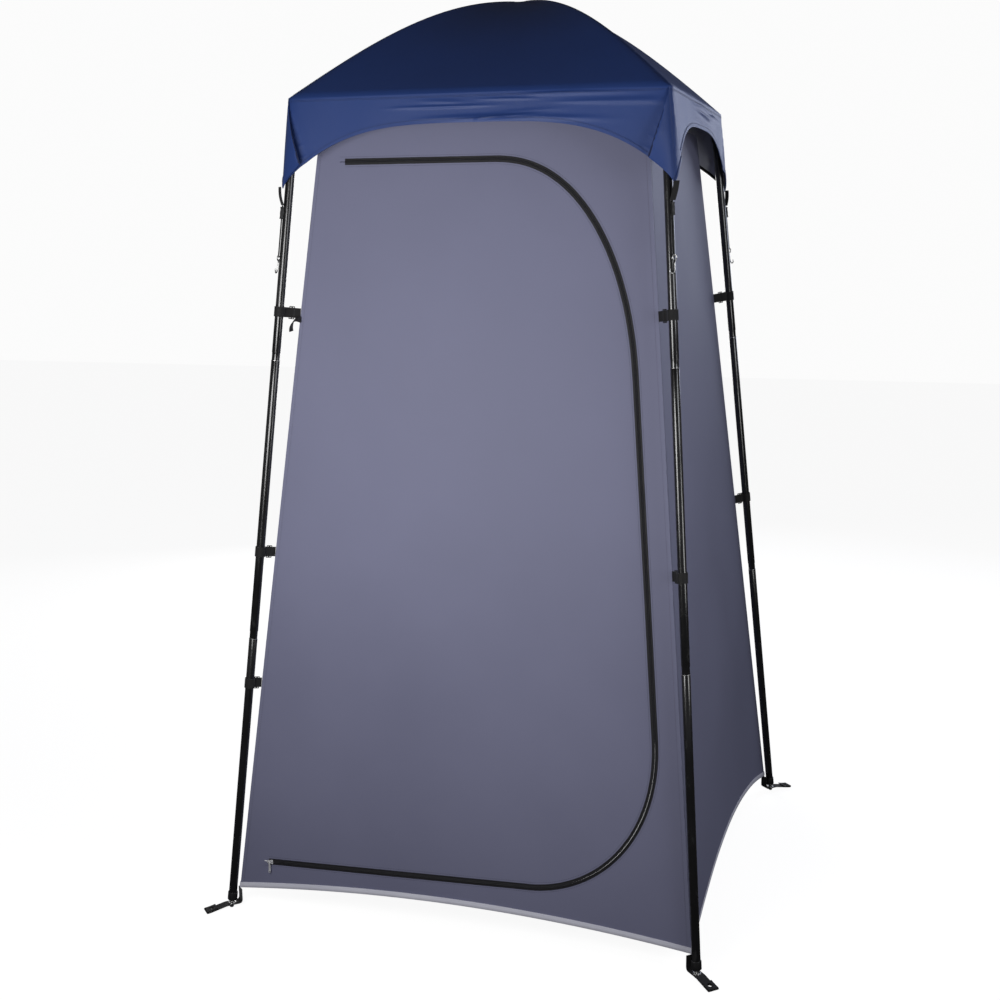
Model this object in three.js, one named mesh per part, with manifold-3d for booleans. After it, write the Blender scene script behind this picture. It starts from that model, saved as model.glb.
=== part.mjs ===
// Privacy shower tent: a four-leg pole frame, a domed rain cover and a hanging inner tent
// whose front wall has a zipped, D-shaped door. Millimetres, +Z up, front is -Y.
// The origin is on the ground, at the centre of the four feet.
import * as THREE from 'three';
import { mergeVertices } from 'three/addons/utils/BufferGeometryUtils.js';
import Module from 'manifold-3d';

const wasm = await Module();
wasm.setup();

// ---- driving dimensions ----
const footHalf = 550;        // leg axis to centre line, at the ground
const topHalf = 401;         // the same, at the leg's top
const legTop = 1829;         // height where topHalf is measured
const roofTurn = 3;          // degrees: the roof sits turned on its feet, as pitched
const legRadius = 9.5;
const jointHeights = [644, 1275];   // where the leg sections plug together
const eaveHalf = 419;
const eaveHeight = 1838;
const domeRise = 237;
const clothThick = 2;
const valanceMiddle = 61;    // depth of the valance in the middle of a side
const valanceTip = 190;      // and at a corner
const valanceFlare = 15;     // how far a corner tip stands out
const valancePower = 3.6;    // how late the arch turns down
const insetFoot = 11;        // inner tent's corner, in from the leg, at the ground
const insetTop = 44;         // and at legTop
const wallTop = 1785;
const hemCorner = 45;
const doorMargin = 55;       // wall edge to door
const doorTop = 1704;
const doorFoot = 116;
const doorFootRise = 24;     // the bottom run of the zip climbs this much
const gap = 0.4;
const strapHeights = [1382, 845];
const thirdStrapHeight = 540;
const poleRadius = 4.6;

const up = new THREE.Vector3(0, 0, 1);
const quarter = Math.PI / 2;
const cornerNames = ['front_left', 'front_right', 'back_right', 'back_left'];
const sideNames = ['front', 'right', 'back', 'left'];
const hemArch = { front: 32, right: 78, back: 78, left: 78 };
const root = new THREE.Group();

// ---- materials ----
const finishes = {
  navy: [0x1e2c55, 0.45, 0],
  grey: [0x73738a, 0.6, 0],
  tube: [0x101012, 0.25, 0.4],
  fibre: [0x18181a, 0.4, 0],
  plastic: [0x0e0e10, 0.5, 0],
  steel: [0xb8b8b8, 0.3, 0.9],
  webbing: [0x161614, 0.85, 0],
  zip: [0x201f28, 0.6, 0],
};

function makeMaterial(finish) {
  const [color, roughness, metalness] = finishes[finish];
  return new THREE.MeshStandardMaterial({ color, roughness, metalness });
}

function add(name, geometry, finish, turn = 0) {
  const mesh = new THREE.Mesh(geometry, makeMaterial(finish));
  mesh.name = name;
  const group = new THREE.Group();
  group.rotation.z = turn;
  group.add(mesh);
  root.add(group);
  return mesh;
}

// ---- solids ----
function signedVolume(points, faces) {
  let sum = 0;
  for (const [a, b, c] of faces) {
    sum += points[a].dot(new THREE.Vector3().crossVectors(points[b], points[c]));
  }
  return sum;
}

// A closed solid through loops of equally many points; its ends are capped,
// or the last loop joins the first.
function loopSolid(loops, joinEnds = false) {
  const count = loops[0].length;
  const points = loops.flat();
  const faces = [];
  const rows = joinEnds ? loops.length : loops.length - 1;
  for (let row = 0; row < rows; row += 1) {
    const here = row * count;
    const next = ((row + 1) % loops.length) * count;
    for (let i = 0; i < count; i += 1) {
      const j = (i + 1) % count;
      faces.push([here + i, here + j, next + j]);
      faces.push([here + i, next + j, next + i]);
    }
  }
  if (!joinEnds) {
    capLoop(points, faces, 0, count, true);
    capLoop(points, faces, (loops.length - 1) * count, count, false);
  }
  if (signedVolume(points, faces) < 0) {
    faces.forEach((face) => face.reverse());
  }
  const geometry = new THREE.BufferGeometry();
  geometry.setFromPoints(points);
  geometry.setIndex(faces.flat());
  return geometry;
}

function capLoop(points, faces, start, count, first) {
  const middle = new THREE.Vector3();
  for (let i = 0; i < count; i += 1) {
    middle.addScaledVector(points[start + i], 1 / count);
  }
  points.push(middle);
  const tip = points.length - 1;
  for (let i = 0; i < count; i += 1) {
    const j = (i + 1) % count;
    faces.push(first ? [start + j, start + i, tip] : [start + i, start + j, tip]);
  }
}

function toManifold(geometry) {
  const bare = geometry.clone();
  bare.deleteAttribute('normal');
  bare.deleteAttribute('uv');
  const merged = mergeVertices(bare, 1e-4);
  return new wasm.Manifold(new wasm.Mesh({
    numProp: 3,
    vertProperties: new Float32Array(merged.attributes.position.array),
    triVerts: new Uint32Array(merged.index.array),
  }));
}

function toGeometry(manifold) {
  const mesh = manifold.getMesh();
  const geometry = new THREE.BufferGeometry();
  geometry.setAttribute('position', new THREE.BufferAttribute(mesh.vertProperties, 3));
  geometry.setIndex(new THREE.BufferAttribute(mesh.triVerts, 1));
  return geometry;
}

function rodBetween(from, to, radius, sides = 12) {
  const along = to.clone().sub(from);
  const geometry = new THREE.CylinderGeometry(radius, radius, along.length(), sides);
  geometry.rotateX(quarter);
  geometry.applyQuaternion(new THREE.Quaternion().setFromUnitVectors(up, along.clone().normalize()));
  const middle = from.clone().add(to).multiplyScalar(0.5);
  geometry.translate(middle.x, middle.y, middle.z);
  return geometry;
}

function sweep(points, radius, sides, steps) {
  const section = new THREE.Shape();
  for (let i = 0; i < sides; i += 1) {
    const angle = (2 * Math.PI * i) / sides;
    const x = radius * Math.cos(angle);
    const y = radius * Math.sin(angle);
    if (i === 0) section.moveTo(x, y);
    else section.lineTo(x, y);
  }
  const path = new THREE.CatmullRomCurve3(points, false, 'centripetal');
  return new THREE.ExtrudeGeometry(section, { steps, extrudePath: path, bevelEnabled: false });
}

// ---- the frame's lines, for the front left corner ----
function legPoint(z) {
  const foot = new THREE.Vector3(-footHalf, -footHalf, 0);
  const top = new THREE.Vector3(-topHalf, -topHalf, 0);
  top.applyAxisAngle(up, THREE.MathUtils.degToRad(roofTurn));
  const point = foot.lerp(top, z / legTop);
  point.z = z;
  return point;
}

const legAxis = legPoint(legTop).sub(legPoint(0)).normalize();

function outward(z) {
  const point = legPoint(z);
  point.z = 0;
  return point.normalize();
}

function legFrame(z) {
  const inward = outward(z).negate();
  const x = inward.addScaledVector(legAxis, -inward.dot(legAxis)).normalize();
  const y = new THREE.Vector3().crossVectors(legAxis, x);
  return new THREE.Matrix4().makeBasis(x, y, legAxis).setPosition(legPoint(z));
}

// ---- legs: three plugged tube sections, a steel foot pin ----
const boreRadius = 8.3;
const spigotRadius = 8;
const spigotLength = 50;
const pinRadius = 5;
const pinBore = 5.4;
const pinDepth = 26;
const legFoot = 22;
const legEnd = 1812;

function legSection(from, to, spigot, socket) {
  const length = (to - from) / legAxis.z;
  const profile = [];
  if (spigot) {
    profile.push([0, -spigotLength], [spigotRadius, -spigotLength], [spigotRadius, 0]);
  } else {
    profile.push([0, pinDepth], [pinBore, pinDepth], [pinBore, 0]);
  }
  profile.push([legRadius, 0], [legRadius, length]);
  if (socket) {
    const floor = length - spigotLength - 1;
    profile.push([boreRadius, length], [boreRadius, floor], [0, floor]);
  } else {
    profile.push([0, length]);
  }
  const geometry = new THREE.LatheGeometry(profile.map(([r, z]) => new THREE.Vector2(r, z)), 12);
  geometry.rotateX(quarter);
  const frame = legFrame(from);
  return geometry.applyMatrix4(frame);
}

// A block under the ground trims the leaning pin flat.
const groundBlock = 60;
const groundDeep = 40;

function footPin() {
  const rod = toManifold(rodBetween(legPoint(-6), legPoint(legFoot + pinDepth - 3), pinRadius));
  const ground = new THREE.BoxGeometry(groundBlock, groundBlock, groundDeep);
  const foot = legPoint(0);
  ground.translate(foot.x, foot.y, -groundDeep / 2);
  return toGeometry(rod.subtract(toManifold(ground)));
}

// ---- roof poles and corner hubs ----
const roofReach = eaveHalf * Math.SQRT2;
const poleDrop = 22;
const poleEnd = 549;
const crossLift = 11;
const poleCrown = 9;

function poleHeight(r) {
  return eaveHeight - poleDrop + (domeRise + poleCrown) * Math.cos((quarter * r) / roofReach);
}

function diagonalPoint(r, z) {
  const point = new THREE.Vector3(-r * Math.SQRT1_2, -r * Math.SQRT1_2, 0);
  point.applyAxisAngle(up, THREE.MathUtils.degToRad(roofTurn));
  point.z = z;
  return point;
}

function roofPole(under) {
  const points = [];
  const steps = 24;
  for (let i = 0; i <= steps; i += 1) {
    const r = poleEnd * (1 - (2 * i) / steps);
    const dip = under ? crossLift * Math.cos((quarter * r) / poleEnd) ** 6 : 0;
    points.push(diagonalPoint(r, poleHeight(r) - dip));
  }
  return sweep(points, poleRadius, 8, steps);
}

// The barrel runs along the leg, the arm along the roof pole.
const hub = {
  barrelFoot: 1770, barrelTop: 1836, barrelRadius: 11.6, boreFoot: 1760, legSlack: 0.35, legRoom: 0.5,
  armOuter: 566, armInner: 526, armRadius: 8.2, boreInner: 515, poleSlack: 0.6, poleRoom: 0.8,
};

function onPole(r) {
  return diagonalPoint(r, poleHeight(r));
}

function cornerHub() {
  const barrel = toManifold(rodBetween(legPoint(hub.barrelFoot), legPoint(hub.barrelTop), hub.barrelRadius));
  const arm = toManifold(rodBetween(onPole(hub.armOuter), onPole(hub.armInner), hub.armRadius));
  const legBore = toManifold(rodBetween(legPoint(hub.boreFoot), legPoint(legEnd + hub.legRoom),
    legRadius + hub.legSlack));
  const poleBore = toManifold(rodBetween(onPole(poleEnd + hub.poleRoom), onPole(hub.boreInner),
    poleRadius + hub.poleSlack));
  return toGeometry(barrel.add(arm).subtract(legBore).subtract(poleBore));
}

// ---- rain cover ----
function roofLoop(half, z, perSide) {
  const loop = [];
  for (let side = 0; side < 4; side += 1) {
    for (let i = 0; i < perSide; i += 1) {
      const point = new THREE.Vector3(half * (-1 + (2 * i) / perSide), -half, z);
      point.applyAxisAngle(up, side * quarter + THREE.MathUtils.degToRad(roofTurn));
      loop.push(point);
    }
  }
  return loop;
}

function canopyDome() {
  const levels = [0.03, 0.15, 0.3, 0.45, 0.6, 0.75, 0.88, 1];
  const height = (q) => eaveHeight + domeRise * Math.cos(quarter * q);
  const outer = levels.map((q) => roofLoop(eaveHalf * q, height(q), 6));
  const inner = levels.map((q) => {
    const drop = q < 1 ? clothThick * 1.25 : 0;
    return roofLoop((eaveHalf - clothThick) * q, height(q) - drop, 6);
  });
  return loopSolid([...outer, ...inner.reverse()]);
}

function valance() {
  const stations = 20;
  const top = eaveHeight - gap;
  const loops = [];
  for (let i = 0; i <= stations; i += 1) {
    const t = (-1 + (2 * i) / stations) * 0.999;
    const drop = valanceMiddle + (valanceTip - valanceMiddle) * Math.abs(t) ** valancePower;
    const halfLow = eaveHalf + (valanceFlare * drop) / valanceTip;
    const place = (half, z) => {
      const point = new THREE.Vector3(t * half, -half, z);
      return point.applyAxisAngle(up, THREE.MathUtils.degToRad(roofTurn));
    };
    loops.push([
      place(eaveHalf, top),
      place(halfLow, eaveHeight - drop),
      place(halfLow - clothThick, eaveHeight - drop),
      place(eaveHalf - clothThick, top),
    ]);
  }
  return loopSolid(loops);
}

// ---- inner tent ----
function wallCorner(z) {
  const foot = legPoint(0).multiplyScalar(1 - insetFoot / footHalf);
  const head = legPoint(legTop).multiplyScalar(1 - insetTop / topHalf);
  const point = foot.lerp(head, z / legTop);
  return point.setZ(z);
}

function wallHalf(z) {
  const left = wallCorner(z);
  const right = left.clone().applyAxisAngle(up, quarter);
  return left.distanceTo(right) / 2;
}

// A point of the front wall: x from the middle, height z, depth behind its outer face.
function wallPoint(x, z, depth = 0) {
  const left = wallCorner(z);
  const right = left.clone().applyAxisAngle(up, quarter);
  const across = right.clone().sub(left).normalize();
  const inward = new THREE.Vector3().crossVectors(up, across);
  const middle = left.add(right).multiplyScalar(0.5);
  return middle.addScaledVector(across, x).addScaledVector(inward, depth);
}

function hemHeight(fraction, arch) {
  return hemCorner + arch * (1 - fraction * fraction);
}

function plainWall(arch) {
  const stations = 12;
  const loops = [];
  for (let i = 0; i <= stations; i += 1) {
    const t = -1 + (2 * i) / stations;
    const low = hemHeight(t, arch);
    const place = (z, depth) => wallPoint(t * (wallHalf(z) - depth - gap), z, depth);
    loops.push([place(low, 0), place(wallTop, 0), place(wallTop, clothThick), place(low, clothThick)]);
  }
  return loopSolid(loops);
}

// The door's outline as [x, z], from the top of its hinge line round to the bottom of it.
const topCorner = { at: 0.1, z: 1240 };
const footCorner = { at: 0.34, z: 490 };

function doorHalf(z) {
  return wallHalf(z) - doorMargin;
}

function doorFootHeight(fraction) {
  return doorFoot + (doorFootRise * (fraction + 1)) / (footCorner.at + 1);
}

function cornerArc(corner, endZ, fromAngle, toAngle, steps, power) {
  const points = [];
  for (let i = 0; i <= steps; i += 1) {
    const angle = fromAngle + ((toAngle - fromAngle) * i) / steps;
    const fraction = corner.at + (1 - corner.at) * Math.cos(angle) ** (2 / power);
    const z = corner.z + (endZ - corner.z) * Math.sin(angle) ** (2 / power);
    points.push([fraction * doorHalf(z), z]);
  }
  return points;
}

function zipLine() {
  const line = [];
  for (let i = 0; i < 5; i += 1) {
    line.push([doorHalf(doorTop) * (-1 + (i * (1 + topCorner.at)) / 5), doorTop]);
  }
  line.push(...cornerArc(topCorner, doorTop, quarter, 0, 12, 2.3));
  for (let i = 1; i < 5; i += 1) {
    const z = topCorner.z + ((footCorner.z - topCorner.z) * i) / 5;
    line.push([doorHalf(z), z]);
  }
  const footZ = doorFootHeight(footCorner.at);
  line.push(...cornerArc(footCorner, footZ, 0, quarter, 10, 2));
  for (let i = 1; i <= 6; i += 1) {
    const fraction = footCorner.at - (i * (1 + footCorner.at)) / 6;
    const z = doorFootHeight(fraction);
    line.push([fraction * doorHalf(z), z]);
  }
  return line;
}

function hingeLine() {
  const line = [];
  for (let i = 1; i < 8; i += 1) {
    const z = doorFoot + ((doorTop - doorFoot) * i) / 8;
    line.push([-doorHalf(z), z]);
  }
  return line;
}

// Moves a line of [x, z] points sideways: positive is away from the door.
function offsetLine(line, distance, closed) {
  const count = line.length;
  return line.map(([x, z], i) => {
    const before = line[closed ? (i + count - 1) % count : Math.max(i - 1, 0)];
    const after = line[closed ? (i + 1) % count : Math.min(i + 1, count - 1)];
    const dx = after[0] - before[0];
    const dz = after[1] - before[1];
    const length = Math.hypot(dx, dz);
    return [x - (dz / length) * distance, z + (dx / length) * distance];
  });
}

function frontWall() {
  const inner = offsetLine([...zipLine(), ...hingeLine()], gap, true);
  const centre = [0, 900];
  const outer = inner.map(([x, z]) => {
    const fraction = Math.max(-1, Math.min(1, x / doorHalf(z)));
    const rise = (z - centre[1]) / (z > centre[1] ? doorTop - centre[1] : centre[1] - doorFoot);
    const reach = Math.max(Math.abs(fraction), Math.abs(rise));
    const a = fraction / reach;
    const b = rise / reach;
    const low = hemHeight(a, hemArch.front);
    return { a, z: b > 0 ? centre[1] + b * (wallTop - centre[1]) : centre[1] + b * (centre[1] - low) };
  });
  snapCorners(outer);
  const outerLoop = (depth) => outer.map(({ a, z }) => {
    return wallPoint(a * (wallHalf(z) - depth - gap), z, depth);
  });
  const innerLoop = (depth) => inner.map(([x, z]) => wallPoint(x, z, depth));
  return loopSolid([outerLoop(0), innerLoop(0), innerLoop(clothThick), outerLoop(clothThick)], true);
}

// The loop's point nearest each corner of the wall goes to that corner.
function snapCorners(loop) {
  for (const a of [-1, 1]) {
    for (const z of [wallTop, hemHeight(1, hemArch.front)]) {
      const away = (point) => Math.hypot((point.a - a) * wallHalf(z), point.z - z);
      const nearest = loop.reduce((best, point) => (away(point) < away(best) ? point : best));
      nearest.a = a;
      nearest.z = z;
    }
  }
}

function doorPanel() {
  const outline = offsetLine([...zipLine(), ...hingeLine()], -gap, true);
  const centre = [-30, 880];
  const ring = (scale, depth) => outline.map(([x, z]) => {
    return wallPoint(centre[0] + (x - centre[0]) * scale, centre[1] + (z - centre[1]) * scale, depth);
  });
  return loopSolid([ring(0.35, 0), ring(0.7, 0), ring(1, 0),
    ring(1, clothThick), ring(0.7, clothThick), ring(0.35, clothThick)]);
}

// ---- zip ----
const tapeWidth = 9;
const tapeFront = -1.4;
const tapeBack = -0.35;
const tapeInset = 2.5;       // the tapes stop this far short of the hinge line

function zipTape(side) {
  const line = zipLine();
  for (const end of [line[0], line[line.length - 1]]) {
    end[0] += tapeInset;
  }
  const near = offsetLine(line, side * 0.5, false);
  const far = offsetLine(line, side * tapeWidth, false);
  const loops = near.map(([x, z], i) => {
    const [farX, farZ] = far[i];
    return [wallPoint(x, z, tapeFront), wallPoint(farX, farZ, tapeFront),
      wallPoint(farX, farZ, tapeBack), wallPoint(x, z, tapeBack)];
  });
  return loopSolid(loops);
}

// The slider's frame: x along the bottom run of the zip, y into the tent, z up the wall.
const sliderStart = -456;

function zipFrame() {
  const z = doorFootHeight(sliderStart / doorHalf(doorFoot));
  const slope = doorFootRise / ((1 + footCorner.at) * doorHalf(doorFoot));
  const origin = wallPoint(sliderStart, z);
  const x = wallPoint(sliderStart + 1, z + slope).sub(origin).normalize();
  const rise = wallPoint(sliderStart, z + 1).sub(origin);
  const y = new THREE.Vector3().crossVectors(rise, x).normalize();
  const upWall = new THREE.Vector3().crossVectors(x, y);
  return new THREE.Matrix4().makeBasis(x, y, upWall).setPosition(origin);
}

function outlineShape(points) {
  return new THREE.Shape(points.map(([x, y]) => new THREE.Vector2(x, y)));
}

const slide = { thick: 2.2, bridgeLong: 10, bridgeThick: 3, bridgeRise: 2.9, standOff: 1.8 };
const slideOutline = [[-8, -3], [-2, -5.5], [7, -5.5], [7, 5.5], [-2, 5.5], [-8, 3]];

function zipSlider() {
  const body = new THREE.ExtrudeGeometry(outlineShape(slideOutline),
    { depth: slide.thick, bevelEnabled: false });
  const bridge = new THREE.BoxGeometry(slide.bridgeLong, slide.bridgeThick, slide.bridgeThick);
  bridge.translate(0, 0, slide.bridgeRise);
  const slider = toGeometry(toManifold(body).add(toManifold(bridge)));
  slider.rotateX(quarter);
  slider.translate(0, -slide.standOff, 0);
  return slider.applyMatrix4(zipFrame());
}

const pullTab = { thick: 1.2, holeDown: 19, holeRadius: 1.5, standOff: 6.8, drop: 0.2 };
const pullOutline = [[-1.8, 0], [-3.2, -20], [-1.8, -24], [1.8, -24], [3.2, -20], [1.8, 0]];

function zipPull() {
  const outline = outlineShape(pullOutline);
  const hole = new THREE.Path();
  hole.absarc(0, -pullTab.holeDown, pullTab.holeRadius, 0, 2 * Math.PI, true);
  outline.holes.push(hole);
  const pull = new THREE.ExtrudeGeometry(outline,
    { depth: pullTab.thick, bevelEnabled: false, curveSegments: 4 });
  pull.rotateX(quarter);
  pull.translate(0, -pullTab.standOff, -pullTab.drop);
  return pull.applyMatrix4(zipFrame());
}

// ---- webbing ----
const strapHeight = 22;
const strapHalfThick = 1.2;
const strapLoop = 2.8;
const strapSlack = 0.5;

function strap(z) {
  const reach = legPoint(z).distanceTo(wallCorner(z)) - 1;
  const outer = legRadius + strapLoop;
  const angle = Math.asin(strapHalfThick / outer);
  const outline = new THREE.Shape();
  outline.moveTo(reach, -strapHalfThick);
  outline.lineTo(reach, strapHalfThick);
  outline.absarc(0, 0, outer, angle, 2 * Math.PI - angle, false);
  const hole = new THREE.Path();
  hole.absarc(0, 0, legRadius + strapSlack, 0, 2 * Math.PI, true);
  outline.holes.push(hole);
  const geometry = new THREE.ExtrudeGeometry(outline,
    { depth: strapHeight, bevelEnabled: false, curveSegments: 8 });
  geometry.translate(0, 0, -strapHeight / 2);
  return geometry.applyMatrix4(legFrame(z));
}

// The tab is drawn in the corner's upright plane: distance out from the foot, height.
const tabOutline = [[-22.8, 43], [-22.8, 9.8], [14, 9.8], [58, 0.8], [62, 0.8], [62, 3], [14.5, 12],
  [-20.6, 12], [-20.6, 43]];
const tabWidth = 24;
const tabDrill = 60;
const pinHoleAt = -1.2;
const pinHoleRadius = 7;
const pegHoleAt = 48;
const pegHoleRadius = 6;

function tabHole(at, radius) {
  const drill = new THREE.CylinderGeometry(radius, radius, tabDrill, 12).rotateX(quarter);
  drill.translate(at, 0, 0);
  return drill;
}

function footTab() {
  const strip = new THREE.ExtrudeGeometry(outlineShape(tabOutline), { depth: tabWidth, bevelEnabled: false });
  strip.rotateX(quarter);
  strip.translate(0, tabWidth / 2, 0);
  const pinHole = tabHole(pinHoleAt, pinHoleRadius);
  const pegHole = tabHole(pegHoleAt, pegHoleRadius);
  const tab = toGeometry(toManifold(strip).subtract(toManifold(pinHole)).subtract(toManifold(pegHole)));
  tab.rotateZ(-3 * Math.PI / 4);
  return tab.translate(-footHalf, -footHalf, 0);
}

// ---- tie lines at the cover's corner tips ----
const tieTop = eaveHeight - valanceTip - 0.6;
const tieBottom = 1612;
const cordRadius = 1.5;
const cordEnd = 1505;

const tailHalfWidth = 7;
const tailThick = 2.2;
const tailTipInset = 0.6;
const tailStandOff = 4.4;

function tieTab() {
  const side = new THREE.Vector3().crossVectors(up, outward(tieTop)).multiplyScalar(tailHalfWidth);
  const tipReach = (eaveHalf + valanceFlare) * Math.SQRT2 - tailTipInset;
  const lowReach = Math.hypot(legPoint(tieBottom).x, legPoint(tieBottom).y) + legRadius + tailStandOff;
  const place = (r, z, across) => {
    const point = z === tieTop ? diagonalPoint(r, z) : outward(z).multiplyScalar(r).setZ(z);
    return point.addScaledVector(side, across);
  };
  return loopSolid([-1, 1].map((across) => [
    place(tipReach, tieTop, across),
    place(tipReach - tailThick, tieTop, across),
    place(lowReach - tailThick, tieBottom, across),
    place(lowReach, tieBottom, across),
  ]));
}

const cordStandOff = 3;
const cordSteps = 14;

function cordPoint(z) {
  return legPoint(z).addScaledVector(outward(z), legRadius + cordStandOff);
}

function tieCord() {
  const top = tieBottom - gap;
  const points = [];
  for (let i = 0; i <= cordSteps; i += 1) {
    points.push(cordPoint(top + ((cordEnd - top) * i) / cordSteps));
  }
  return sweep(points, cordRadius, 8, cordSteps);
}

// An S hook of round wire, drawn as [across, down] from the end of its cord.
const hookWire = 1.3;
const hookLine = [
  [-1.9, 11.8], [-4.6, 9.2], [-4.9, 5.2], [-2.4, 2.4], [2.2, 2.3], [4.9, 5.2], [4.6, 9.2],
  [2.2, 13.2], [0.5, 18], [0.2, 26], [-0.8, 33], [-4.4, 38.2], [-9.6, 38.4], [-12.4, 34.2], [-12, 30],
];

function tieHook() {
  const start = cordPoint(cordEnd);
  const side = new THREE.Vector3().crossVectors(up, outward(cordEnd));
  const points = hookLine.map(([across, down]) => {
    return start.clone().addScaledVector(side, across).addScaledVector(legAxis, -down);
  });
  return sweep(points, hookWire, 6, 34);
}

// ---- assembly ----
cornerNames.forEach((corner, index) => {
  const turn = index * quarter;
  const [low, high] = jointHeights;
  add(`leg_lower_${corner}`, legSection(legFoot, low - gap, false, true), 'tube', turn);
  add(`leg_middle_${corner}`, legSection(low, high - gap, true, true), 'tube', turn);
  add(`leg_upper_${corner}`, legSection(high, legEnd, true, false), 'tube', turn);
  add(`foot_pin_${corner}`, footPin(), 'steel', turn);
  add(`corner_hub_${corner}`, cornerHub(), 'plastic', turn);
  add(`strap_upper_${corner}`, strap(strapHeights[0]), 'webbing', turn);
  add(`strap_lower_${corner}`, strap(strapHeights[1]), 'webbing', turn);
  add(`foot_tab_${corner}`, footTab(), 'webbing', turn);
  add(`tie_tab_${corner}`, tieTab(), 'webbing', turn);
  if (corner !== 'back_left') {
    add(`tie_cord_${corner}`, tieCord(), 'webbing', turn);
    add(`tie_hook_${corner}`, tieHook(), 'steel', turn);
  }
});
add('strap_third_front_left', strap(thirdStrapHeight), 'webbing');
add('roof_pole_under', roofPole(true), 'fibre');
add('roof_pole_over', roofPole(false), 'fibre', quarter);
add('canopy_dome', canopyDome(), 'navy');
sideNames.forEach((side, index) => {
  add(`canopy_valance_${side}`, valance(), 'navy', index * quarter);
  if (side !== 'front') {
    add(`wall_${side}`, plainWall(hemArch[side]), 'grey', index * quarter);
  }
});
add('wall_front', frontWall(), 'grey');
add('door_panel', doorPanel(), 'grey');
add('zip_tape_wall', zipTape(1), 'zip');
add('zip_tape_door', zipTape(-1), 'zip');
add('zip_slider', zipSlider(), 'steel');
add('zip_pull', zipPull(), 'steel');

export default root;
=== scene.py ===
import bpy
import math
import random
from mathutils import Matrix, Vector, noise


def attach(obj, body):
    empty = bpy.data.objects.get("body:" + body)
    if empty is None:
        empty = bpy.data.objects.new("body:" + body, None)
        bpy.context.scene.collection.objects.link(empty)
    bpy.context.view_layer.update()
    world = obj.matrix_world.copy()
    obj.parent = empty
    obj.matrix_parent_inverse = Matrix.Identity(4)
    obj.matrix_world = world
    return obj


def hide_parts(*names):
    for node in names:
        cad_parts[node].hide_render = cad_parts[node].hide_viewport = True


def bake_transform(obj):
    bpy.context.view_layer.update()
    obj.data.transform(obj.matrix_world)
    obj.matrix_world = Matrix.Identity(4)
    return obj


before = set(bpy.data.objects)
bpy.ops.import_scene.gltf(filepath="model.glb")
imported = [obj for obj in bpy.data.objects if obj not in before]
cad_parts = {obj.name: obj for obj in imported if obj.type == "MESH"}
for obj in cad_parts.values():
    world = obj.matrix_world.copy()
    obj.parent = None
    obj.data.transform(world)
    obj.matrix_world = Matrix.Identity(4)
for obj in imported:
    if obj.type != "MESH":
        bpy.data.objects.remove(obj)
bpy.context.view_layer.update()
scene = bpy.context.scene

# sizes shared by all pieces, in metres
tent = {
    "footHalf": 0.55, "topHalf": 0.401, "legTop": 1.829, "roofTurn": math.radians(3),
    "eaveHalf": 0.419, "eaveHeight": 1.838, "domeRise": 0.237,
    "insetFoot": 0.011, "insetTop": 0.044, "wallTop": 1.785, "legRadius": 0.0095,
}
quarter = math.pi / 2
corners = ["front_left", "front_right", "back_right", "back_left"]
sides = ["front", "right", "back", "left"]


# ---- camera, floor and light
floorLook = {"size": 24, "drop": 0.0004, "tone": 0.25, "glow": 0.93, "rough": 0.9, "gloss": 0.1}
backdrop = {"seen": 0.97, "foot": 0.02, "bands": ((0.46, 0.04), (0.52, 0.2), (0.66, 0.05))}
camera = {"place": (1.0589, -3.3697, 1.5559), "turn": (79.481, 0.442, 18.323), "lens": 52.4}
lights = [  # name, place, aims at, size, power, colour
    ("key", (-0.25, -1.85, 1.3), (0, -0.4, 1.3), 0.9, 18, (1, 1, 1)),
    ("side", (2.3, -1.2, 1.75), (0.4, 0, 1.6), 1.0, 12, (0.94, 0.96, 1)),
    ("backdrop", (1.7, 3.4, 2.2), (0.3, 0, 1.7), 2.0, 29, (0.74, 0.8, 1)),
    ("low", (1.5, -0.7, 0.9), (0.36, 0.36, 1.66), 0.5, 3, (1, 1, 1)),
    ("rear", (-1.7, 3.3, 1.5), (-0.1, 0.3, 1.2), 1.8, 34, (1, 1, 1)),
]


def addCamera():
    data = bpy.data.cameras.new("camera")
    data.lens = camera["lens"]
    data.sensor_width = 36
    data.clip_end = 100
    piece = bpy.data.objects.new("camera", data)
    piece.location = camera["place"]
    piece.rotation_euler = [math.radians(a) for a in camera["turn"]]
    scene.collection.objects.link(piece)
    scene.camera = piece
    scene.view_settings.view_transform = "Standard"


def addLights():
    for name, place, target, size, power, colour in lights:
        data = bpy.data.lights.new(name, "AREA")
        data.shape = "DISK"
        data.size = size
        data.energy = power
        data.color = colour
        piece = bpy.data.objects.new(name, data)
        piece.location = place
        piece.rotation_euler = (Vector(target) - Vector(place)).to_track_quat("-Z", "Y").to_euler()
        piece.visible_camera = False
        scene.collection.objects.link(piece)


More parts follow.
